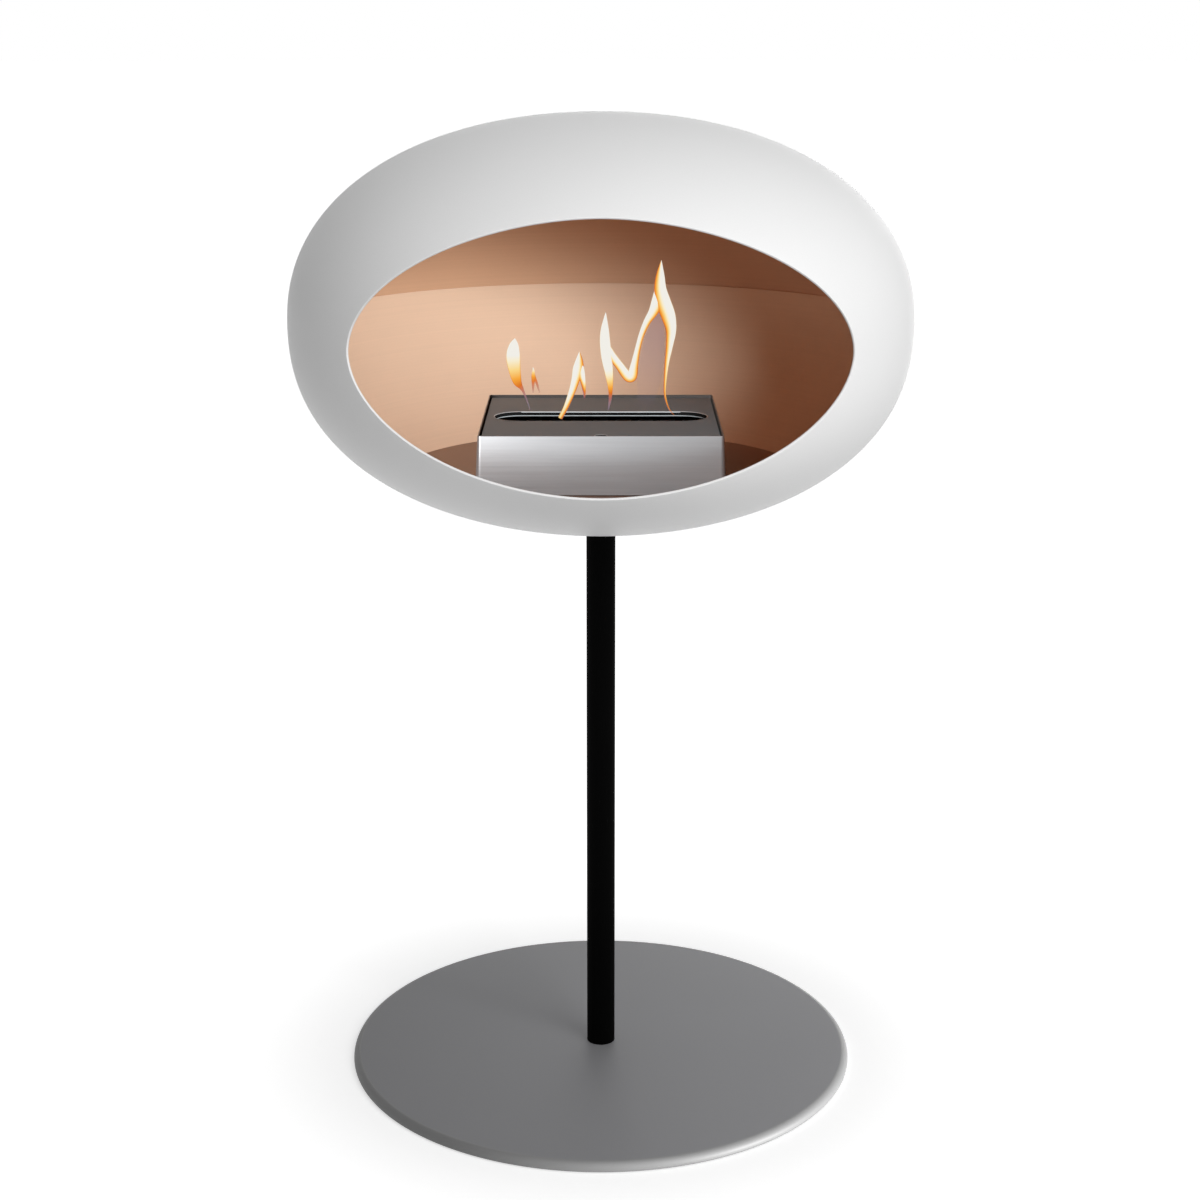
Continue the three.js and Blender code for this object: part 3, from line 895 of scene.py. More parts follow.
@dataclass
class BasePlate:
    """Heavy round plate with a rounded edge, on a felt disc."""

    felt_top: float = 0.5 * MM
    felt_margin: float = 9 * MM
    radius: float = 216 * MM
    foot: float = 0.8 * MM
    top: float = 8.8 * MM
    top_rounding: float = 6 * MM
    foot_rounding: float = 1.8 * MM
    bolt_hole: float = 5.3 * MM
    countersink: float = 10.3 * MM
    countersink_top: float = 6.1 * MM
    rounding_steps: int = 10
    segments: int = 256

    def plate(self) -> bpy.types.Object:
        """Turns the plate, and gives its rounded rim the rubbed finish.

        Returns:
            The plate.
        """
        edge = self._quarter(self.foot + self.foot_rounding, self.foot_rounding, -QUARTER)
        edge += self._quarter(self.top - self.top_rounding, self.top_rounding, 0.0)
        profile = [
            (self.countersink, self.foot),
            *edge,
            (self.bolt_hole, self.top),
            (self.bolt_hole, self.countersink_top),
        ]
        mesh = moulded(self._round, profile, Ends.RING, GREY_LACQUER.material())
        mesh.materials.append(RIM_LACQUER.material())
        worn_from = self.radius - self.top_rounding
        for face in mesh.polygons:
            face.material_index = int(math.hypot(face.center.x, face.center.y) > worn_from)
        return piece("base_plate_turned", mesh, Body.STAND, ["base_plate"])

    def felt(self) -> bpy.types.Object:
        """Cuts the felt disc.

        Returns:
            The disc, which lies under the plate.
        """
        radius = self.radius - self.felt_margin
        profile = [(radius, 0.0), (radius, self.felt_top)]
        mesh = moulded(self._round, profile, Ends.CAPPED, FELT.material())
        felt = piece("felt_disc", mesh, Body.STAND, ["base_felt"])
        return felt

    def _round(self, outwards: float) -> Loop:
        """A circle of the plate."""
        return circle(outwards, self.segments)

    def _quarter(self, height: float, rounding: float, start: float) -> Loop:
        """A quarter round at the rim.

        Args:
            height: The height of its centre.
            rounding: Its radius.
            start: The angle that it starts from.

        Returns:
            Its points, anticlockwise.
        """
        steps = self.rounding_steps
        angles = [start + QUARTER * i / steps for i in range(steps + 1)]
        reach = self.radius - rounding
        return [(reach + rounding * math.cos(a), height + rounding * math.sin(a)) for a in angles]


@dataclass
class Pole:
    """Slim black tube with a gasket on its end."""

    radius: float = 12 * MM
    wall: float = 2.5 * MM
    foot: float = 9.1 * MM
    top: float = 474.9 * MM
    gasket_foot: float = 475.2 * MM
    gasket_top: float = 476.2 * MM
    gasket_bore: float = 5.3 * MM
    chamfer: float = 0.4 * MM
    segments: int = 96

    def tube(self) -> bpy.types.Object:
        """Turns the tube."""
        return self._ring("pole_turned", self.radius - self.wall, self.foot, self.top,
                          BLACK_PAINT, "pole_tube")

    def gasket(self) -> bpy.types.Object:
        """Turns the gasket."""
        return self._ring("gasket_turned", self.gasket_bore, self.gasket_foot, self.gasket_top,
                          RUBBER, "pole_gasket")

    def _ring(
        self, name: str, bore: float, foot: float, top: float, finish: Finish, node: str,
    ) -> bpy.types.Object:
        """Turns a ring of the pole's width with softened edges.

        Args:
            name: The piece's name.
            bore: The radius of its hole.
            foot: The height of its lower end.
            top: The height of its upper end.
            finish: Its finish.
            node: The CAD node that it stands for.

        Returns:
            The ring.
        """
        corners = [(bore, foot), (self.radius, foot), (self.radius, top), (bore, top)]
        profile = softened(corners, self.chamfer, closed=True)
        mesh = moulded(self._round, profile, Ends.RING, finish.material())
        return piece(name, mesh, Body.STAND, [node])

    def _round(self, outwards: float) -> Loop:
        """A circle of the pole."""
        return circle(outwards, self.segments)


# ---- Dome -----------------------------------------------------------------------------------


@dataclass(frozen=True)
class DomeForm:
    """The superellipse of revolution and the mouth that every sheet of the dome follows."""

    centre: float = 642.5 * MM
    radius: float = 250 * MM
    crown: float = 163.5 * MM
    bowl: float = 166 * MM
    plan_power: float = 2.13
    crown_power: float = 2.2
    bowl_power: float = 2.28
    mouth_half_width: float = 186 * MM
    mouth_half_height: float = 101.5 * MM
    mouth_drop: float = 1.5 * MM
    mouth_power: float = 1.87

    def plan_radius(self, height: float) -> float:
        """The outline's radius.

        Args:
            height: The height above the equator.

        Returns:
            The radius there.
        """
        rise = self.crown if height > 0 else self.bowl
        power = self.crown_power if height > 0 else self.bowl_power
        return self.radius * (1 - (abs(height) / rise) ** power) ** (1 / self.plan_power)

    def mouth_angle(self, height: float) -> float:
        """The mouth curve's angle, on the right, at a height above the equator."""
        share = (height + self.mouth_drop) / self.mouth_half_height
        return math.copysign(math.asin(abs(share) ** (self.mouth_power / 2)), share)

    def mouth_azimuth(self, height: float) -> float:
        """How far round from the front the mouth's edge lies at a height above the equator."""
        across = math.cos(self.mouth_angle(height)) ** (2 / self.mouth_power)
        return math.asin(self.mouth_half_width * across / self.plan_radius(height))


@dataclass(frozen=True)
class SheetRun:
    """Where one spun sheet starts and ends on the dome's form.

    The sheet starts at an edge that follows the mouth and then, if it has to, a level
    line round the back. It ends at a point, or at a level circle.
    """

    mouth_from: float
    mouth_to: float
    mouth_share: float = 1.0
    level: float = 0.0
    corner: float = 0.0
    end_radius: float = 0.0
    end_back: float = 0.0
    end_height: float = 0.0
    ends_open: bool = False


@dataclass
class SpunSheet:
    """A spun sheet of the dome, with the mouth cut and a rounded cut edge."""

    name: str
    form: DomeForm
    run: SheetRun
    inset: float
    wall: float
    finish: Finish
    slot: str
    nodes: tuple[str, ...]
    columns: int = 240
    rows: int = 64
    rim_rows: int = 6
    rim_power: float = 3.5
    newton_steps: int = 4
    size: SimpleNamespace = field(init=False)

    def build(self) -> bpy.types.Object:
        """Makes the sheet with Geometry Nodes.

        Returns:
            The sheet.
        """
        recipe = Recipe(self.name)
        self.size = self._sizes(recipe)
        folded = 2 * (self.rows + self.rim_rows) + 1
        grid = recipe.add("GeometryNodeMeshGrid", {
            "Size X": 1.0,
            "Size Y": 1.0,
            "Vertices X": recipe.count("Columns", self.columns + 1),
            "Vertices Y": recipe.count("Folded rows", folded),
        })
        x, y, _ = recipe.parts(recipe.add("GeometryNodeInputPosition").outputs[0])
        place = self._place(x + 0.5, y + 0.5)
        moved = recipe.add("GeometryNodeSetPosition", {
            "Geometry": grid.outputs[0],
            "Position": recipe.vector(place.x, place.y, place.z + self.size.centre),
        })
        welded = recipe.add("GeometryNodeMergeByDistance", {"Geometry": moved.outputs[0], "Distance": WELD})
        mesh = recipe.mesh(welded.outputs[0], self.finish.material())
        return piece(self.name, mesh, Body.STAND, self.nodes)

    def _sizes(self, recipe: Recipe) -> SimpleNamespace:
        """Declares each number of the form, the run and the sheet as a named input.

        Args:
            recipe: The tree.

        Returns:
            The inputs by the numbers' names.
        """
        numbers = {
            **asdict(self.form),
            **asdict(self.run),
            "inset": self.inset,
            "wall": self.wall,
            "rim_power": self.rim_power,
            "rim_share": self.rim_rows / (self.rows + self.rim_rows),
        }
        return SimpleNamespace(**{
            name: recipe.size(name.replace("_", " ").capitalize(), number)
            for name, number in numbers.items()
        })

    def _rise(self, height: Field) -> tuple[Field, Field]:
        """The outline's half height and power on the side of the equator where a height is."""
        upper, size = height.above(0.0), self.size
        return upper.between(size.bowl, size.crown), upper.between(size.bowl_power, size.crown_power)

    def _plan_radius(self, height: Field) -> Field:
        """The outline's radius.

        Args:
            height: The height above the equator.

        Returns:
            The radius there.
        """
        rise, power = self._rise(height)
        left = 1.0 - (abs(height) / rise) ** power
        return self.size.radius * left.most(0.0) ** (1.0 / self.size.plan_power)

    def _edge(self, along: Field) -> tuple[Arrow, Arrow]:
        """The sheet's start and end at a share of the way along its edge.

        Args:
            along: From nought to one.

        Returns:
            The point on the edge and the point where its column ends.
        """
        size = self.size
        on_mouth = 1.0 - along.above(size.mouth_share)
        mouth_part = (along / size.mouth_share).least(1.0)
        back_part = (along - size.mouth_share) / (JUST_OVER_ONE - size.mouth_share)
        angle = mouth_part.between(size.mouth_from, size.mouth_to)
        bend = 2.0 / size.mouth_power
        x = size.mouth_half_width * angle.cosine().signed_power(bend)
        z = size.mouth_half_height * angle.sine().signed_power(bend) - size.mouth_drop
        plan = self._plan_radius(z)
        y = -(plan * plan - x * x).most(0.0).root()
        mouth_azimuth = (1.0 - 2.0 * mouth_part) * size.corner
        back_azimuth = -size.corner - (2.0 * math.pi - 2.0 * size.corner) * back_part
        azimuth = on_mouth.between(back_azimuth, mouth_azimuth)
        level_plan = self._plan_radius(size.level)
        start = Arrow(
            on_mouth.between(level_plan * azimuth.sine(), x),
            on_mouth.between(-level_plan * azimuth.cosine(), y),
            on_mouth.between(size.level, z),
        )
        end = Arrow(
            size.end_radius * azimuth.sine(),
            size.end_back - size.end_radius * azimuth.cosine(),
            size.end_height,
        )
        return start, end

    def _on_form(self, way: Arrow) -> Arrow:
        """The point of the outline in a direction from the dome's centre, by Newton's method.

        Args:
            way: The direction.

        Returns:
            The point.
        """
        rise, power = self._rise(way.z)
        plan_power = self.size.plan_power
        across = (way.x * way.x + way.y * way.y).root() / self.size.radius
        up = abs(way.z) / rise
        flat_term = across ** plan_power
        rise_term = up ** power
        reach = 1.0 / (across * across + up * up).root()
        for _ in range(self.newton_steps):
            over = flat_term * reach ** plan_power + rise_term * reach ** power - 1.0
            slope = (
                plan_power * flat_term * reach ** (plan_power - 1.0)
                + power * rise_term * reach ** (power - 1.0)
            )
            reach = reach - over / slope
        return way * reach

    def _normal(self, point: Arrow) -> Arrow:
        """The outline's outward direction.

        Args:
            point: A point of the outline.

        Returns:
            The direction, one long.
        """
        rise, power = self._rise(point.z)
        plan_power, radius = self.size.plan_power, self.size.radius
        plan = (point.x * point.x + point.y * point.y).root()
        flat = (plan / radius) ** (plan_power - 1.0) * plan_power / radius
        up = (abs(point.z) / rise) ** (power - 1.0) * power / rise
        return Arrow(flat * point.x / plan, flat * point.y / plan, up * point.z.sign()).unit()

    def _place(self, along: Field, folded: Field) -> Arrow:
        """The place of a grid point on the folded sheet.

        Args:
            along: Share of the way along the edge.
            folded: From the outer face's far end, over the rim, to the inner face's far end.

        Returns:
            The point, from the dome's centre.
        """
        start, end = self._edge(along)
        size = self.size
        half = size.wall * 0.5
        side = (folded - 0.5).sign()
        far = abs(folded * 2.0 - 1.0)
        spread = (far - size.rim_share).most(0.0) / (1.0 - size.rim_share)
        turn = (1.0 - (far / size.rim_share).least(1.0)) * QUARTER
        squareness = 2.0 / size.rim_power
        set_back = half * (1.0 - turn.sine().most(0.0) ** squareness)
        open_end = 1.0 - (spread.above(NEARLY_ONE) * size.ends_open)
        depth = half + side * half * turn.cosine().most(0.0) ** squareness * open_end
        first, last = start.unit(), end.unit()
        whole = first.dot(last).most(-1.0).least(1.0).arc_cosine()
        reach = start.length()
        passed = set_back / reach + spread * (whole - half / reach)
        way = first * ((whole - passed).sine() / whole.sine()) + last * (passed.sine() / whole.sine())
        outer = self._on_form(way.unit())
        inwards = -(size.inset + depth)
        return outer + self._normal(outer) * inwards


@dataclass
class Dome:
    """The shell, the two spun liners and the floor plate."""

    form: DomeForm = field(default_factory=DomeForm)
    wall: float = 2 * MM
    liner_wall: float = 1 * MM
    upper_inset: float = 2.3 * MM
    lower_inset: float = 3.6 * MM
    lap: float = 5 * MM
    liner_foot: float = 509 * MM
    lip: float = 6.6 * MM
    floor_underside: float = 517 * MM
    floor_top: float = 518.5 * MM
    floor_hole: float = 1.8 * MM
    floor_rounding: float = 0.3 * MM
    floor_segments: int = 192
    slant: float = 1.9          # how far in a sheet lies at the floor, over its inset

    def shell(self) -> bpy.types.Object:
        """Spins the outer shell.

        Returns:
            The shell.
        """
        run = SheetRun(mouth_from=0.0, mouth_to=2 * math.pi, end_back=self.form.radius)
        return SpunSheet("dome_spun", self.form, run, 0.0, self.wall, SHELL_PAINT,
                         "shell_paint", ("dome_shell",), columns=320, rows=90).build()

    def _behind_the_lip(self) -> DomeForm:
        """The form with a wider mouth, so that the shell's lip hides a liner's cut edge."""
        return replace(
            self.form,
            mouth_half_width=self.form.mouth_half_width + self.lip,
            mouth_half_height=self.form.mouth_half_height + self.lip,
        )

    def upper_liner(self) -> bpy.types.Object:
        """Spins the cap over the fire.

        Returns:
            The upper liner.
        """
        form = self._behind_the_lip()
        start = form.mouth_angle(-self.lap)
        run = SheetRun(
            mouth_from=start,
            mouth_to=math.pi - start,
            mouth_share=0.5,
            level=-self.lap,
            corner=form.mouth_azimuth(-self.lap),
            end_height=form.crown,
        )
        # The cap takes the darker copper, which is painted shade.
        return SpunSheet("liner_cap_spun", form, run, self.upper_inset, self.liner_wall,
                         SHADED_CAP_LACQUER, "copper_liner", ("liner_upper",)).build()

    def lower_liner(self) -> bpy.types.Object:
        """Spins the band round the fire, down to just under the floor.

        Returns:
            The lower liner.
        """
        form = self._behind_the_lip()
        start = form.mouth_angle(0.0)
        foot = self.liner_foot - form.centre
        run = SheetRun(
            mouth_from=start,
            mouth_to=-math.pi - start,
            mouth_share=0.5,
            corner=form.mouth_azimuth(0.0),
            end_radius=form.plan_radius(foot),
            end_height=foot,
            ends_open=True,
        )
        return SpunSheet("liner_band_spun", form, run, self.lower_inset, self.liner_wall,
                         COPPER_LACQUER, "copper_liner", ("liner_lower",)).build()

    def floor(self) -> bpy.types.Object:
        """Turns the floor plate.

        Returns:
            The plate.
        """
        inset = self.lower_inset + self.liner_wall
        radius = self.form.plan_radius(self.floor_underside - self.form.centre) - self.slant * inset
        corners = [
            (self.floor_hole, self.floor_underside),
            (radius, self.floor_underside),
            (radius, self.floor_top),
            (self.floor_hole, self.floor_top),
        ]
        profile = softened(corners, self.floor_rounding, closed=True)
        # The floor plate takes the dark copper, which is painted shade.
        mesh = moulded(self._round, profile, Ends.RING, SHADED_FLOOR_LACQUER.material())
        return piece("floor_turned", mesh, Body.STAND, ["floor_plate"])

    def _round(self, outwards: float) -> Loop:
        """A circle of the floor plate."""
        return circle(outwards, self.floor_segments)


# ---- Burner ---------------------------------------------------------------------------------


@dataclass
class BurnerBox:
    """Steel casing on rubber feet, with a tank, a ceramic pad and a slotted sheet inside."""

    half_width: float = 95.5 * MM
    half_depth: float = 94 * MM
    flare: float = 2.4 * MM
    corner: float = 2.5 * MM
    sheet: float = 1.2 * MM
    foot: float = 523 * MM
    skirt_foot: float = 519 * MM
    rim: float = 565.5 * MM
    flange_half_width: float = 93 * MM
    tank_half_width: float = 89.5 * MM
    tank_half_depth: float = 88 * MM
    tank_corner: float = 6 * MM
    tank_foot: float = 524.5 * MM
    tank_top: float = 561.7 * MM
    tank_sheet: float = 1 * MM
    pad_clearance: float = 0.5 * MM
    pad_foot: float = 525.8 * MM
    pad_top: float = 545.8 * MM
    grid_foot: float = 546.1 * MM
    grid_thickness: float = 1 * MM
    border_reach: float = 1 * MM    # a point nearer the border than this moves out with it
    grid_bar: float = 6 * MM
    grid_columns: int = 9
    grid_rows: int = 2
    feet_foot: float = 518.8 * MM
    feet_height: float = 3.9 * MM
    feet_radius: float = 8 * MM
    feet_inset: float = 22 * MM
    feet_taper: float = 0.86    # the sole's radius over the foot's
    feet_facets: int = 40
    middle: float = -60 * MM    # where a profile meets the flat part of a floor
    casing_rounding: float = 0.55 * MM
    tank_rounding: float = 0.4 * MM
    least_corner: float = 0.8 * MM

    def casing(self) -> bpy.types.Object:
        """Folds the casing: four flared walls with a rounded rim, and a floor.

        Returns:
            The casing, steel outside and darkened by heat inside.
        """
        inner_foot = self.flare - self.sheet
        skirt_flare = self.flare * (self.rim - self.skirt_foot) / (self.rim - self.foot)
        profile = softened([
            (self.middle, self.foot),
            (inner_foot, self.foot),
            (skirt_flare - self.sheet, self.skirt_foot),
            (skirt_flare, self.skirt_foot),
            (0.0, self.rim),
            (-self.sheet, self.rim),
            (inner_foot, self.foot + self.sheet),
            (self.middle, self.foot + self.sheet),
        ], self.casing_rounding)
        mesh = moulded(self._casing_outline, profile, Ends.CAPPED, CASING_STEEL.material())
        mesh.materials.append(TANK_STEEL.material())
        for face in mesh.polygons:
            x, y, z = face.center
            outwards = face.normal.x * x + face.normal.y * y
            looks_in = outwards < -self.half_depth / 2
            face.material_index = int(looks_in and z > self.foot + self.sheet)
        return piece("casing_folded", mesh, Body.BURNER, ["burner_casing"])

    def tank(self) -> bpy.types.Object:
        """Presses the fuel tank with its flange.

        Returns:
            The tank.
        """
        reach = self.flange_half_width - self.tank_half_width
        profile = softened([
            (self.middle, self.tank_foot),
            (0.0, self.tank_foot),
            (0.0, self.tank_top - self.tank_sheet),
            (reach, self.tank_top - self.tank_sheet),
            (reach, self.tank_top),
            (-self.tank_sheet, self.tank_top),
            (-self.tank_sheet, self.tank_foot + self.tank_sheet),
            (self.middle, self.tank_foot + self.tank_sheet),
        ], self.tank_rounding)
        mesh = moulded(self._tank_outline, profile, Ends.CAPPED, TANK_STEEL.material())
        return piece("tank_pressed", mesh, Body.BURNER, ["burner_tank"])

    def pad(self) -> bpy.types.Object:
        """Cuts the ceramic-fibre pad: a soft block with a fluffy, uneven surface.

        Returns:
            The pad.
        """
        half_width, half_depth = self._inside_tank()
        recipe = Recipe("Ceramic pad")
        block = recipe.add("GeometryNodeMeshCube", {
            "Size": recipe.vector(
                recipe.size("Width", 2 * half_width),
                recipe.size("Depth", 2 * half_depth),
                recipe.size("Height", self.pad_top - self.pad_foot),
            ),
            "Vertices X": recipe.count("Cells across", 90),
            "Vertices Y": recipe.count("Cells deep", 90),
            "Vertices Z": recipe.count("Cells high", 10),
        })
        x, y, z = recipe.parts(recipe.add("GeometryNodeInputPosition").outputs[0])
        relief = recipe.add("ShaderNodeTexNoise", {
            "Vector": recipe.vector(x, y, z), "Scale": recipe.size("Tufts", 130.0), "Detail": 3.0,
        }).outputs[0]
        shrink = 1.0 - recipe.number(relief) * recipe.size("Unevenness", 0.012)
        sunk = 1.0 - recipe.number(relief) * recipe.size("Sinking", 0.09)
        middle = recipe.size("Middle", (self.pad_top + self.pad_foot) / 2)
        moved = recipe.add("GeometryNodeSetPosition", {
            "Geometry": block.outputs[0],
            "Position": recipe.vector(x * shrink, y * shrink, z * sunk + middle),
        })
        mesh = recipe.mesh(moved.outputs[0], CERAMIC.material())
        pad = piece("ceramic_pad", mesh, Body.BURNER, ["absorbent_pad"])
        return pad

    def grid(self) -> bpy.types.Object:
        """Punches the windows of the sheet that holds the pad down.

        Returns:
            The sheet.
        """
        half_width, half_depth = self._inside_tank()
        recipe = Recipe("Slotted sheet")
        bar = recipe.size("Bar", self.grid_bar)
        width = recipe.size("Width", 2 * half_width) - bar
        depth = recipe.size("Depth", 2 * half_depth) - bar
        columns = recipe.count("Columns", self.grid_columns + 1)
        rows = recipe.count("Rows", self.grid_rows + 1)
        cells = recipe.add("GeometryNodeMeshGrid", {
            "Size X": width, "Size Y": depth, "Vertices X": columns, "Vertices Y": rows,
        }).outputs[0]
        inner = recipe.add("GeometryNodeExtrudeMesh", {
            "Mesh": cells, "Offset Scale": 0.0, "Individual": True,
        }, mode="FACES")
        pitch_x = width / float(self.grid_columns)
        pitch_y = depth / float(self.grid_rows)
        shrunk_x = recipe.add("GeometryNodeScaleElements", {
            "Geometry": inner.outputs[0],
            "Selection": inner.outputs[1],
            "Scale": (pitch_x - bar) / pitch_x,
            "Axis": (1.0, 0.0, 0.0),
        }, domain="FACE", scale_mode="SINGLE_AXIS").outputs[0]
        shrunk = recipe.add("GeometryNodeScaleElements", {
            "Geometry": shrunk_x,
            "Selection": inner.outputs[1],
            "Scale": (pitch_y - bar) / pitch_y,
            "Axis": (0.0, 1.0, 0.0),
        }, domain="FACE", scale_mode="SINGLE_AXIS").outputs[0]
        open_cells = recipe.add("GeometryNodeDeleteGeometry", {
            "Geometry": shrunk, "Selection": inner.outputs[1],
        }, domain="FACE").outputs[0]
        x, y, _ = recipe.parts(recipe.add("GeometryNodeInputPosition").outputs[0])
        border_x = abs(x).above(width * 0.5 - self.border_reach) * x.sign() * bar * 0.5
        border_y = abs(y).above(depth * 0.5 - self.border_reach) * y.sign() * bar * 0.5
        framed = recipe.add("GeometryNodeSetPosition", {
            "Geometry": open_cells,
            "Offset": recipe.vector(border_x, border_y, recipe.size("Foot", self.grid_foot)),
        }).outputs[0]
        risen = recipe.add("GeometryNodeExtrudeMesh", {
            "Mesh": framed,
            "Offset": (0.0, 0.0, 1.0),
            "Offset Scale": recipe.size("Thickness", self.grid_thickness),
            "Individual": False,
        }, mode="FACES").outputs[0]
        under = recipe.add("GeometryNodeFlipFaces", {"Mesh": framed}).outputs[0]
        joined = recipe.add("GeometryNodeJoinGeometry")
        recipe.tree.links.new(under, joined.inputs[0])
        recipe.tree.links.new(risen, joined.inputs[0])
        # The grid's dark steel is painted shade.
        mesh = recipe.mesh(joined.outputs[0], SHADED_GRID_STEEL.material())
        return piece("sheet_punched", mesh, Body.BURNER, ["absorbent_grid"])

    def feet(self) -> bpy.types.Object:
        """Sets four round rubber feet under the casing.

        Returns:
            The feet, as one piece.
        """
        recipe = Recipe("Feet")
        radius = recipe.size("Radius", self.feet_radius)
        height = recipe.size("Height", self.feet_height)
        foot = recipe.add("GeometryNodeMeshCone", {
            "Vertices": recipe.count("Facets", self.feet_facets),
            "Side Segments": 4,
            "Fill Segments": 2,
            "Radius Bottom": radius * self.feet_taper,
            "Radius Top": radius,
            "Depth": height,
        }).outputs[0]
        places = recipe.add("GeometryNodeMeshGrid", {
            "Size X": recipe.size("Spread across", 2 * (self.half_width - self.feet_inset)),
            "Size Y": recipe.size("Spread deep", 2 * (self.half_depth - self.feet_inset)),
            "Vertices X": 2,
            "Vertices Y": 2,
        }).outputs[0]
        raised = recipe.add("GeometryNodeTransform", {
            "Geometry": places,
            "Translation": recipe.vector(0.0, 0.0, recipe.size("Foot", self.feet_foot)),
        }).outputs[0]
        four = recipe.add("GeometryNodeInstanceOnPoints", {"Points": raised, "Instance": foot}).outputs[0]
        mesh = recipe.mesh(four, RUBBER.material())
        names = [f"burner_foot_{end}_{side}" for end in ("front", "back") for side in ("left", "right")]
        return piece("feet_moulded", mesh, Body.BURNER, names)

    def _inside_tank(self) -> Point2:
        """Half the width and half the depth of what lies in the tank."""
        inset = self.tank_sheet + self.pad_clearance
        return self.tank_half_width - inset, self.tank_half_depth - inset

    def _casing_outline(self, outwards: float) -> Loop:
        """The casing's plan, moved outwards."""
        corner = max(self.corner + outwards, self.least_corner)
        return rounded_rectangle(self.half_width + outwards, self.half_depth + outwards, corner)

    def _tank_outline(self, outwards: float) -> Loop:
        """The tank's plan, moved outwards."""
        corner = max(self.tank_corner + outwards, self.least_corner)
        return rounded_rectangle(self.tank_half_width + outwards, self.tank_half_depth + outwards, corner)


@dataclass
class TopPlate:
    """Recessed plate with a collared flame slot and a hole for the lifting hook."""

    half_width: float = 93 * MM
    half_depth: float = 91.5 * MM
    corner: float = 2.5 * MM
    top: float = 563.5 * MM
    thickness: float = 1.5 * MM
    slot_half_length: float = 86.5 * MM
    slot_half_width: float = 21 * MM
    slot_offset: float = 3 * MM
    collar_foot: float = 559.5 * MM
    collar_wall: float = 1.2 * MM
    hook_hole: float = 4.5 * MM
    hook_place: float = -82 * MM
    rounding: float = 0.3 * MM
    edge_width: float = 0.65 * MM
    wall_skin: float = 0.02 * MM       # a face nearer the slot than this belongs to its wall
    slot_lead: float = 0.6 * MM        # how far outside the collar its profile starts
    slot_rounding: float = 0.8 * MM
    hook_segments: int = 40

    def plate(self) -> bpy.types.Object:
        """Cuts the plate and turns its collar down.

        Returns:
            The plate.
        """
        under = self.top - self.thickness
        wall = self.collar_wall
        slot_profile = softened([
            (wall + self.slot_lead, self.top),
            (0.0, self.top),
            (0.0, self.collar_foot),
            (wall, self.collar_foot),
            (wall, under),
            (wall + self.slot_lead, under),
        ], self.slot_rounding)
        work = bmesh.new()
        edges = [
            self._wall(work, self._slot_outline, slot_profile),
            self._wall(work, self._hook_outline, self._edge_profile(self.rounding * 2)),
            self._wall(work, self._border_outline, self._edge_profile(-self.rounding * 2)),
        ]
        for end, up in ((0, 1.0), (1, -1.0)):
            rims = [edge for pair in edges for edge in pair[end]]
            bmesh.ops.triangle_fill(work, edges=rims, use_beauty=True, normal=(0.0, 0.0, up))
        mesh = bpy.data.meshes.new("plate")
        work.to_mesh(mesh)
        work.free()
        # The slot's wall takes painted shade in black, and its edges a painted highlight in bright steel.
        for finish in (DARK_STEEL, SLOT_SHADE_BLACK, EDGE_HIGHLIGHT_STEEL):
            mesh.materials.append(finish.material())
        facing_out(mesh)
        for face in mesh.polygons:
            face.material_index = self._finish_at(face.center)
        return piece("plate_pressed", mesh, Body.TOP_PLATE, ["top_plate"])

    def _edge_profile(self, lead: float) -> Loop:
        """The section of a plain cut edge, which starts this far from it."""
        under = self.top - self.thickness
        return softened([(lead, self.top), (0.0, self.top), (0.0, under), (lead, under)], self.rounding)

    def _finish_at(self, place: Vector) -> int:
        """Picks a face's finish: painted shade in black on the slot's wall, and a painted highlight in
        bright steel on its edges.

        Args:
            place: The face's middle.

        Returns:
            The finish's place in the plate's list of materials.
        """
        reach = self.slot_half_length - self.slot_half_width
        past = max(abs(place.x) - reach, 0.0)
        from_slot = math.hypot(past, place.y - self.slot_offset) - self.slot_half_width
        from_hook = math.hypot(place.x, place.y - self.hook_place) - self.hook_hole
        out = min(from_slot, from_hook)
        if out > self.edge_width:
            return 0
        # The top edges and the collar's foot take the painted highlight.
        highlight_top = place.z > self.top - self.edge_width and out > self.wall_skin
        highlight_foot = place.z < self.collar_foot + self.edge_width
        return 2 if highlight_top or highlight_foot else 1

    def _slot_outline(self, outwards: float) -> Loop:
        """The slot's plan, grown."""
        return long_slot(self.slot_half_length + outwards, self.slot_half_width + outwards, self.slot_offset)

    def _hook_outline(self, outwards: float) -> Loop:
        """The hook hole's plan, grown."""
        return circle(self.hook_hole + outwards, self.hook_segments, (0.0, self.hook_place))

    def _border_outline(self, outwards: float) -> Loop:
        """The plate's plan, grown."""
        corner = self.corner + outwards
        return rounded_rectangle(self.half_width + outwards, self.half_depth + outwards, corner)

    @staticmethod
    def _wall(work: bmesh.types.BMesh, outline: OutlineOf, profile: Loop) -> tuple[list, list]:
        """Adds a wall round an outline.

        Args:
            work: The mesh under construction.
            outline: Gives the plan's points for a distance outwards.
            profile: Points of (distance outwards, height).

        Returns:
            The edges of its first and of its last ring.
        """
        rings = rings_of(work, outline, profile)
        bridge(work, rings)
        first, last = (
            [work.edges.get((ring[i - 1], ring[i])) for i in range(len(ring))]
            for ring in (rings[0], rings[-1])
        )
        return first, last


# ---- Flames ---------------------------------------------------------------------------------


@dataclass(frozen=True)
class Tongue:
    """One tongue of a flame.

    The spine's points are (x, height over the plate, half width) in millimetres, from
    root to tip. The cool side is -1 for the left, 1 for the right and 0 for neither.
    """

    spine: tuple[Point3, ...]
    y: float = 3.0
    warm_up: float = 0.35
    root_heat: float = 0.1
    root_dense: float = 0.15
    cool_side: float = 0.0
    heat: float = 1.0
    dense: float = 1.0


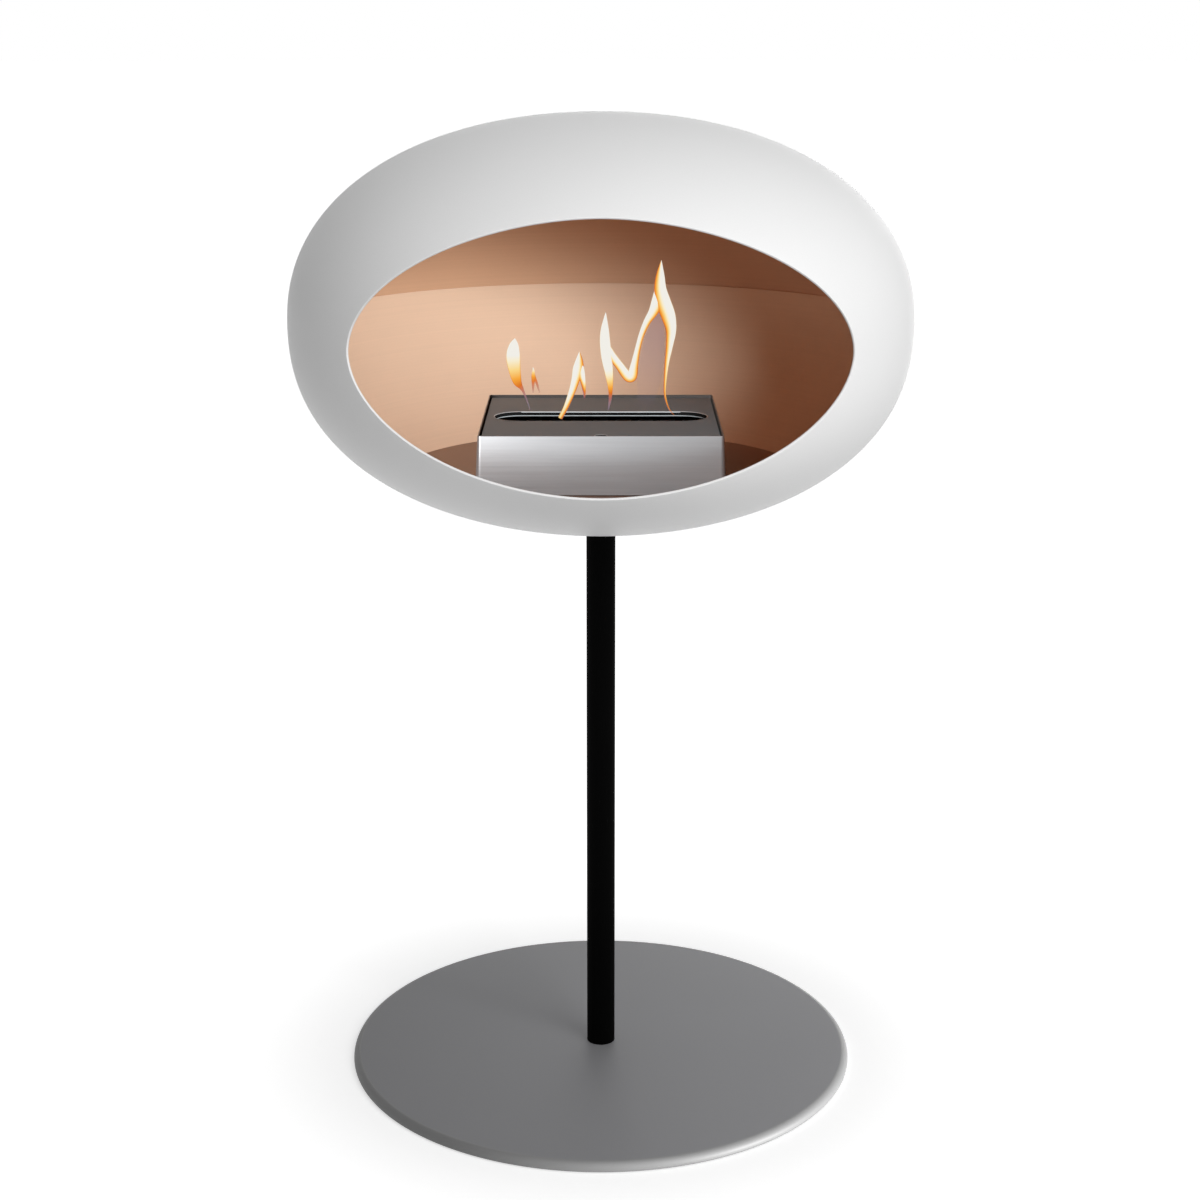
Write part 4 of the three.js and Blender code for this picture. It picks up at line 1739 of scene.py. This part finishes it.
@dataclass
class Flames:
    """Tongues of flame that stand in the slot."""

    tongues: tuple[Tongue, ...]
    plate_top: float = 563.5 * MM
    depth_share: float = 0.5
    facets: int = 28
    rows_per_part: int = 6
    least_half: float = 0.15    # of a tongue's width, in millimetres
    warming: float = 1.7        # power of the rise in heat from the root
    thickening: float = 2.0     # how fast a tongue grows dense from the root
    root_core: float = 1.1      # how much of a tongue's width its core takes up, at the root
    core_growth: float = 1.8    # what the core gains up to the tip
    skin: float = 0.4           # heat and density of a tongue's edge, over its core's
    cooling: float = 0.78       # what the cool side lacks in heat
    cooling_reach: float = 0.3  # how far past the middle the cool side goes

    def build(self) -> bpy.types.Object:
        """Lofts every tongue along its spine.

        Returns:
            The flames, which light nothing and throw no shadow.
        """
        work = bmesh.new()
        for tongue in self.tongues:
            self._tongue(work, tongue)
        bmesh.ops.recalc_face_normals(work, faces=work.faces)
        mesh = bpy.data.meshes.new("flames")
        work.to_mesh(mesh)
        work.free()
        mesh.materials.append(FLAME.material())
        flames = piece("flames", mesh, Body.TOP_PLATE)
        flames.visible_shadow = False
        flames.visible_diffuse = False
        flames.visible_glossy = False
        return flames

    def _tongue(self, work: bmesh.types.BMesh, tongue: Tongue) -> None:
        """Adds one tongue as a closed loft, and marks its heat and how dense it is.

        Args:
            work: The mesh under construction.
            tongue: The tongue.
        """
        layers = work.verts.layers.float
        heat = layers.get("warmth") or layers.new("warmth")
        dense = layers.get("thickness") or layers.new("thickness")
        stations = self._stations(tongue.spine)
        rings = []
        for index, (x, z, half) in enumerate(stations):
            passed = min(index / (len(stations) - 1) / tongue.warm_up, 1.0)
            rise = tongue.root_heat + (1 - tongue.root_heat) * passed ** self.warming
            fade = tongue.root_dense + (1 - tongue.root_dense) * min(self.thickening * passed, 1.0)
            core_width = self.root_core + self.core_growth * index / len(stations)
            before = stations[max(index - 1, 0)]
            after = stations[min(index + 1, len(stations) - 1)]
            along = Vector((after[0] - before[0], 0.0, after[1] - before[1])).normalized()
            across = Vector((along.z, 0.0, -along.x))
            ring = []
            for facet in range(self.facets):
                angle = 2 * math.pi * facet / self.facets
                place = Vector((x, tongue.y + half * self.depth_share * math.sin(angle), z))
                place += across * half * math.cos(angle)
                corner = work.verts.new(place * MM + Vector((0.0, 0.0, self.plate_top)))
                core = self.skin + (1 - self.skin) * min(abs(math.sin(angle)) * core_width, 1.0)
                chill = tongue.cool_side * math.cos(angle) + self.cooling_reach * abs(tongue.cool_side)
                chilled = 1 - self.cooling * min(max(chill, 0.0), 1.0)
                corner[heat] = tongue.heat * rise * core * chilled
                corner[dense] = tongue.dense * fade * core
                ring.append(corner)
            rings.append(ring)
        bridge(work, rings)
        work.faces.new(rings[0])
        work.faces.new(rings[-1])

    def _stations(self, spine: Sequence[Point3]) -> list[Point3]:
        """Finds points along a smooth curve through the spine's points.

        Args:
            spine: The spine.

        Returns:
            The points, from root to tip.
        """
        stations = []
        padded = [spine[0], *spine, spine[-1]]
        for part in range(len(spine) - 1):
            for row in range(self.rows_per_part):
                stations.append(self._smooth(padded[part:part + 4], row / self.rows_per_part))
        stations.append(spine[-1])
        return stations

    def _smooth(self, corners: Sequence[Point3], share: float) -> Point3:
        """Finds a point of a Catmull-Rom curve between the second and third of four points.

        Args:
            corners: The four points.
            share: Share of the way from the second to the third.

        Returns:
            The point.
        """
        a, b, c, d = (Vector(corner) for corner in corners)
        bend = (2 * b) + (c - a) * share + (2 * a - 5 * b + 4 * c - d) * share ** 2
        bend += (3 * b - a - 3 * c + d) * share ** 3
        x, z, half = bend / 2
        return x, z, max(half, self.least_half)


# ---- Hardware that keeps its CAD mesh -------------------------------------------------------


@dataclass
class Hardware:
    """Bolts, inserts and plates that the finished object hides."""

    nodes: tuple[str, ...] = (
        "foot_bolt", "pole_foot_insert", "pole_head_insert", "pole_stud",
        "saddle_plate", "clamp_washer", "clamp_nut", "floor_screw",
    )

    def dress(self) -> None:
        """Gives each node the zinc finish."""
        for name in self.nodes:
            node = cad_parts[name]
            node.data.materials.clear()
            node.data.materials.append(ZINC.material())
            LOG.info("%s: dressed in %s", name, ZINC.name)


# ---- Studio ---------------------------------------------------------------------------------


@dataclass
class Lamp:
    """A flat soft lamp. Where it names pieces, it lights or is shaded by these alone."""

    name: str
    place: Point3
    target: Point3
    power: float
    width: float = 1.8
    height: float = 1.8
    lit: tuple[str, ...] = ()
    shading: tuple[str, ...] = ()
    mirrored: bool = True
    colour: Colour = (1.0, 1.0, 1.0)

    def hang(self) -> None:
        """Hangs the lamp and turns it to its target."""
        light = bpy.data.lights.new(self.name, "AREA")
        light.shape = "RECTANGLE"
        light.size = self.width
        light.size_y = self.height
        light.energy = self.power
        light.color = self.colour
        lamp = bpy.data.objects.new(self.name, light)
        lamp.location = self.place
        way = Vector(self.target) - Vector(self.place)
        lamp.rotation_euler = way.to_track_quat("-Z", "Y").to_euler()
        lamp.visible_glossy = self.mirrored
        bpy.context.scene.collection.objects.link(lamp)
        if self.lit:
            lamp.light_linking.receiver_collection = self._group("lit", self.lit)
        if self.shading:
            lamp.light_linking.blocker_collection = self._group("shading", self.shading)

    def _group(self, use: str, names: Sequence[str]) -> bpy.types.Collection:
        """Collects pieces for the lamp.

        Args:
            use: What the lamp does with them.
            names: Their names.

        Returns:
            The collection.
        """
        group = bpy.data.collections.new(f"{self.name} {use}")
        for name in names:
            group.objects.link(bpy.data.objects[name])
        return group


def beamed_from(target: Point3, away: float, rise: float, turn: float) -> Point3:
    """Finds a lamp's place.

    Args:
        target: Where it shines.
        away: How far off it hangs.
        rise: Its height over the target, in degrees.
        turn: How far round to the right from the front it hangs, in degrees.

    Returns:
        The place.
    """
    flat = away * math.cos(math.radians(rise))
    turned = math.radians(turn)
    way = Vector((flat * math.sin(turned), -flat * math.cos(turned), away * math.sin(math.radians(rise))))
    return tuple(Vector(target) + way)


@dataclass
class Studio:
    """Pale floor, white surroundings, soft lamps and the photograph's camera."""

    lamps: tuple[Lamp, ...]
    lens: float = 65.52
    sensor: float = 36.0
    pitch: float = 15.09
    camera_place: Point3 = (0.0, -1.7555, 0.8823)
    shift_x: float = -0.00073
    floor_radius: float = 40.0
    floor_segments: int = 64
    floor_colour: Colour = (0.8, 0.8, 0.8)
    surroundings: float = 0.16
    bounce: float = 0.33
    near_glow: float = 0.59
    far_glow: float = 0.92
    glow_from: float = 0.225
    glow_to: float = 0.42

    def build(self) -> None:
        """Sets up the whole studio."""
        self._camera()
        self._floor()
        self._world()
        for lamp in self.lamps:
            lamp.hang()
        bpy.context.scene.view_settings.view_transform = "Standard"

    def _camera(self) -> None:
        """Stands the camera where the photograph was taken from."""
        data = bpy.data.cameras.new("Camera")
        data.lens = self.lens
        data.sensor_width = self.sensor
        data.shift_x = self.shift_x
        camera = bpy.data.objects.new("Camera", data)
        camera.location = self.camera_place
        camera.rotation_euler = (math.radians(90 - self.pitch), 0.0, 0.0)
        bpy.context.scene.collection.objects.link(camera)
        bpy.context.scene.camera = camera

    def _floor(self) -> None:
        """Lays a pale floor that looks white and keeps the object's shadow."""
        material = bpy.data.materials.new("Studio floor")
        material.use_nodes = True
        sheet = Sheet(material.node_tree)
        x, y, _ = sheet.parts(object_place(sheet))
        away = (x * x + y * y).root()
        passed = ((away - self.glow_from) / (self.glow_to - self.glow_from)).most(0.0).least(1.0)
        strength = self._seen(sheet).between(self.bounce, passed.between(self.near_glow, self.far_glow))
        matt = sheet.add("ShaderNodeBsdfDiffuse", {"Color": (*self.floor_colour, 1.0)})
        glow = sheet.add("ShaderNodeEmission", {"Strength": strength})
        both = sheet.add("ShaderNodeAddShader")
        plug(sheet.tree, matt.outputs[0], both.inputs[0])
        plug(sheet.tree, glow.outputs[0], both.inputs[1])
        sheet.add("ShaderNodeOutputMaterial", {"Surface": both.outputs[0]})
        work = bmesh.new()
        bmesh.ops.create_circle(work, cap_ends=True, segments=self.floor_segments,
                              radius=self.floor_radius)
        mesh = bpy.data.meshes.new("Studio_floor")
        work.to_mesh(mesh)
        work.free()
        mesh.materials.append(material)
        made = bpy.data.objects.new("Studio_floor", mesh)
        bpy.context.scene.collection.objects.link(made)

    def _world(self) -> None:
        """Makes the surroundings plain, but white where they are seen or mirrored."""
        world = bpy.data.worlds.new("Studio")
        world.use_nodes = True
        bpy.context.scene.world = world
        sheet = Sheet(world.node_tree)
        strength = self._seen(sheet).between(self.surroundings, 1.0)
        light = sheet.add("ShaderNodeBackground", {"Color": (1.0, 1.0, 1.0, 1.0), "Strength": strength})
        sheet.add("ShaderNodeOutputWorld", {"Surface": light.outputs[0]})

    @staticmethod
    def _seen(sheet: Sheet) -> Field:
        """Tells what the camera sees from what only gives light.

        Args:
            sheet: The tree.

        Returns:
            One for what is seen straight, in gloss or through glass, and nought for the rest.
        """
        path = sheet.add("ShaderNodeLightPath")
        rays = ("Is Camera Ray", "Is Glossy Ray", "Is Transmission Ray")
        camera, gloss, glass = (sheet.number(path.outputs[name]) for name in rays)
        return camera.most(gloss).most(glass)


# ---- The whole object -----------------------------------------------------------------------

MOUTH = (0.0, -0.2, 0.64)
FOOT = (0.0, 0.0, 0.0)
DAYLIGHT = (0.84, 0.96, 1.0)
LINING = ("liner_cap_spun", "liner_band_spun")
LAMPS = (
    Lamp(
        "Key", (1.7, -2.1, 2.2), (0.0, 0.0, 0.5), power=43.0,
        lit=(
            "base_plate_turned", "felt_disc", "pole_turned", "gasket_turned", "dome_spun", "Studio_floor",
            "tank_pressed", "ceramic_pad", "sheet_punched", "feet_moulded",
        ),
    ),
    Lamp(
        "Hearth", beamed_from(MOUTH, away=2.3, rise=10.0, turn=21.0), MOUTH, power=76.0,
        width=0.9, height=0.45, lit=(*LINING, "floor_turned", "plate_pressed"),
        shading=("dome_spun", *LINING), mirrored=False, colour=DAYLIGHT,
    ),
    Lamp(
        "Steel", beamed_from(MOUTH, away=2.3, rise=6.0, turn=-30.0), MOUTH, power=36.0,
        width=0.4, height=0.4, lit=("casing_folded",), shading=("casing_folded",),
    ),
    Lamp(
        "Dome", beamed_from(MOUTH, away=3.0, rise=34.0, turn=18.0), MOUTH, power=47.0,
        width=1.3, height=1.3, lit=("dome_spun",),
    ),
    Lamp(
        "Back", beamed_from(MOUTH, away=3.0, rise=-8.0, turn=172.0), MOUTH, power=30.0,
        lit=("dome_spun", "pole_turned", "base_plate_turned"),
    ),
    Lamp(
        "Rim", beamed_from(FOOT, away=2.4, rise=5.0, turn=62.0), FOOT, power=125.0,
        width=1.3, height=0.3, lit=("base_plate_turned",), shading=("base_plate_turned",),
    ),
)

FLAME_TONGUES = (
    Tongue((
        (36.0, 3.0, 5.0), (37.5, 15.0, 8.0), (39.5, 30.0, 10.0), (41.5, 45.0, 10.0), (43.5, 60.0, 8.5),
        (45.5, 72.0, 6.0), (46.8, 82.0, 3.0), (47.4, 90.0, 0.3),
    ), y=12.0, warm_up=1.2, root_dense=0.0, heat=0.045, dense=0.16),
    Tongue((
        (-57.6, 5.0, 0.4), (-60.9, 14.9, 0.6), (-64.1, 22.3, 1.4), (-67.7, 28.0, 3.5), (-69.7, 36.2, 4.7),
        (-70.9, 46.0, 5.6), (-70.9, 52.5, 5.3), (-70.1, 59.0, 3.5), (-69.4, 63.5, 0.3),
    ), warm_up=0.75, root_heat=0.0),
    Tongue((
        (-55.2, 19.0, 0.5), (-55.0, 26.4, 1.2), (-54.9, 32.9, 1.5), (-54.7, 37.0, 0.9), (-55.0, 39.9, 0.2),
    ), warm_up=1.0),
    Tongue(((-49.8, 19.0, 0.4), (-51.9, 26.4, 1.0), (-53.8, 32.1, 1.0), (-54.6, 37.0, 0.4)), warm_up=1.6),
    Tongue((
        (-33.0, 0.2, 1.8), (-28.2, 9.4, 2.1), (-23.7, 20.9, 2.7), (-20.4, 31.5, 3.5), (-18.2, 40.4, 4.5),
        (-17.4, 47.7, 2.9), (-17.2, 54.5, 0.2),
    ), y=-8.0, root_heat=0.6, root_dense=0.8, cool_side=0.8),
    Tongue((
        (-13.2, 16.0, 0.5), (-13.5, 22.5, 1.3), (-14.4, 29.8, 2.1), (-16.0, 38.8, 2.9), (-17.0, 46.9, 1.9),
    ), y=-8.5, warm_up=0.6, cool_side=-0.8),
    Tongue((
        (6.0, 5.0, 0.6), (7.6, 14.9, 1.3), (7.7, 23.9, 2.1), (6.6, 35.4, 3.4), (4.6, 48.4, 4.3),
        (3.3, 61.4, 4.2), (3.2, 71.9, 3.1), (3.9, 84.4, 0.2),
    ), warm_up=0.5, root_heat=0.0),
    Tongue((
        (4.5, 58.2, 2.4), (9.0, 49.2, 3.4), (15.1, 41.1, 3.5), (21.6, 32.5, 4.0), (25.3, 32.9, 4.3),
        (27.2, 41.9, 3.2), (29.6, 54.1, 2.3), (32.8, 66.3, 2.3), (37.2, 76.8, 2.9), (42.0, 84.5, 3.9),
        (45.6, 93.0, 5.0), (47.0, 104.0, 3.6),
    ), y=3.5, root_heat=1.0, root_dense=1.0, cool_side=0.8),
    Tongue((
        (60.1, 0.2, 0.3), (55.2, 6.6, 0.6), (52.2, 16.5, 0.9), (52.0, 26.4, 1.1), (53.3, 42.7, 1.8),
        (55.4, 57.4, 2.9), (56.6, 70.3, 4.3), (54.3, 81.6, 5.9), (50.5, 92.1, 6.1), (47.7, 103.3, 5.0),
        (47.6, 114.5, 3.4), (48.4, 126.2, 0.2),
    ), warm_up=0.5, root_heat=0.3, cool_side=-0.8),
)


def main() -> None:
    """Builds and dresses the fireplace, piece by piece, and sets up the studio."""
    logging.basicConfig(level=logging.INFO, format="%(name)s: %(message)s")
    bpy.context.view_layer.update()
    base = BasePlate()
    base.plate()
    base.felt()
    pole = Pole()
    pole.tube()
    pole.gasket()
    dome = Dome()
    dome.shell()
    dome.upper_liner()
    dome.lower_liner()
    dome.floor()
    burner = BurnerBox()
    burner.casing()
    burner.tank()
    burner.pad()
    burner.grid()
    burner.feet()
    TopPlate().plate()
    Flames(tongues=FLAME_TONGUES).build()
    Hardware().dress()
    Studio(lamps=LAMPS).build()


if __name__ == "__main__":
    main()
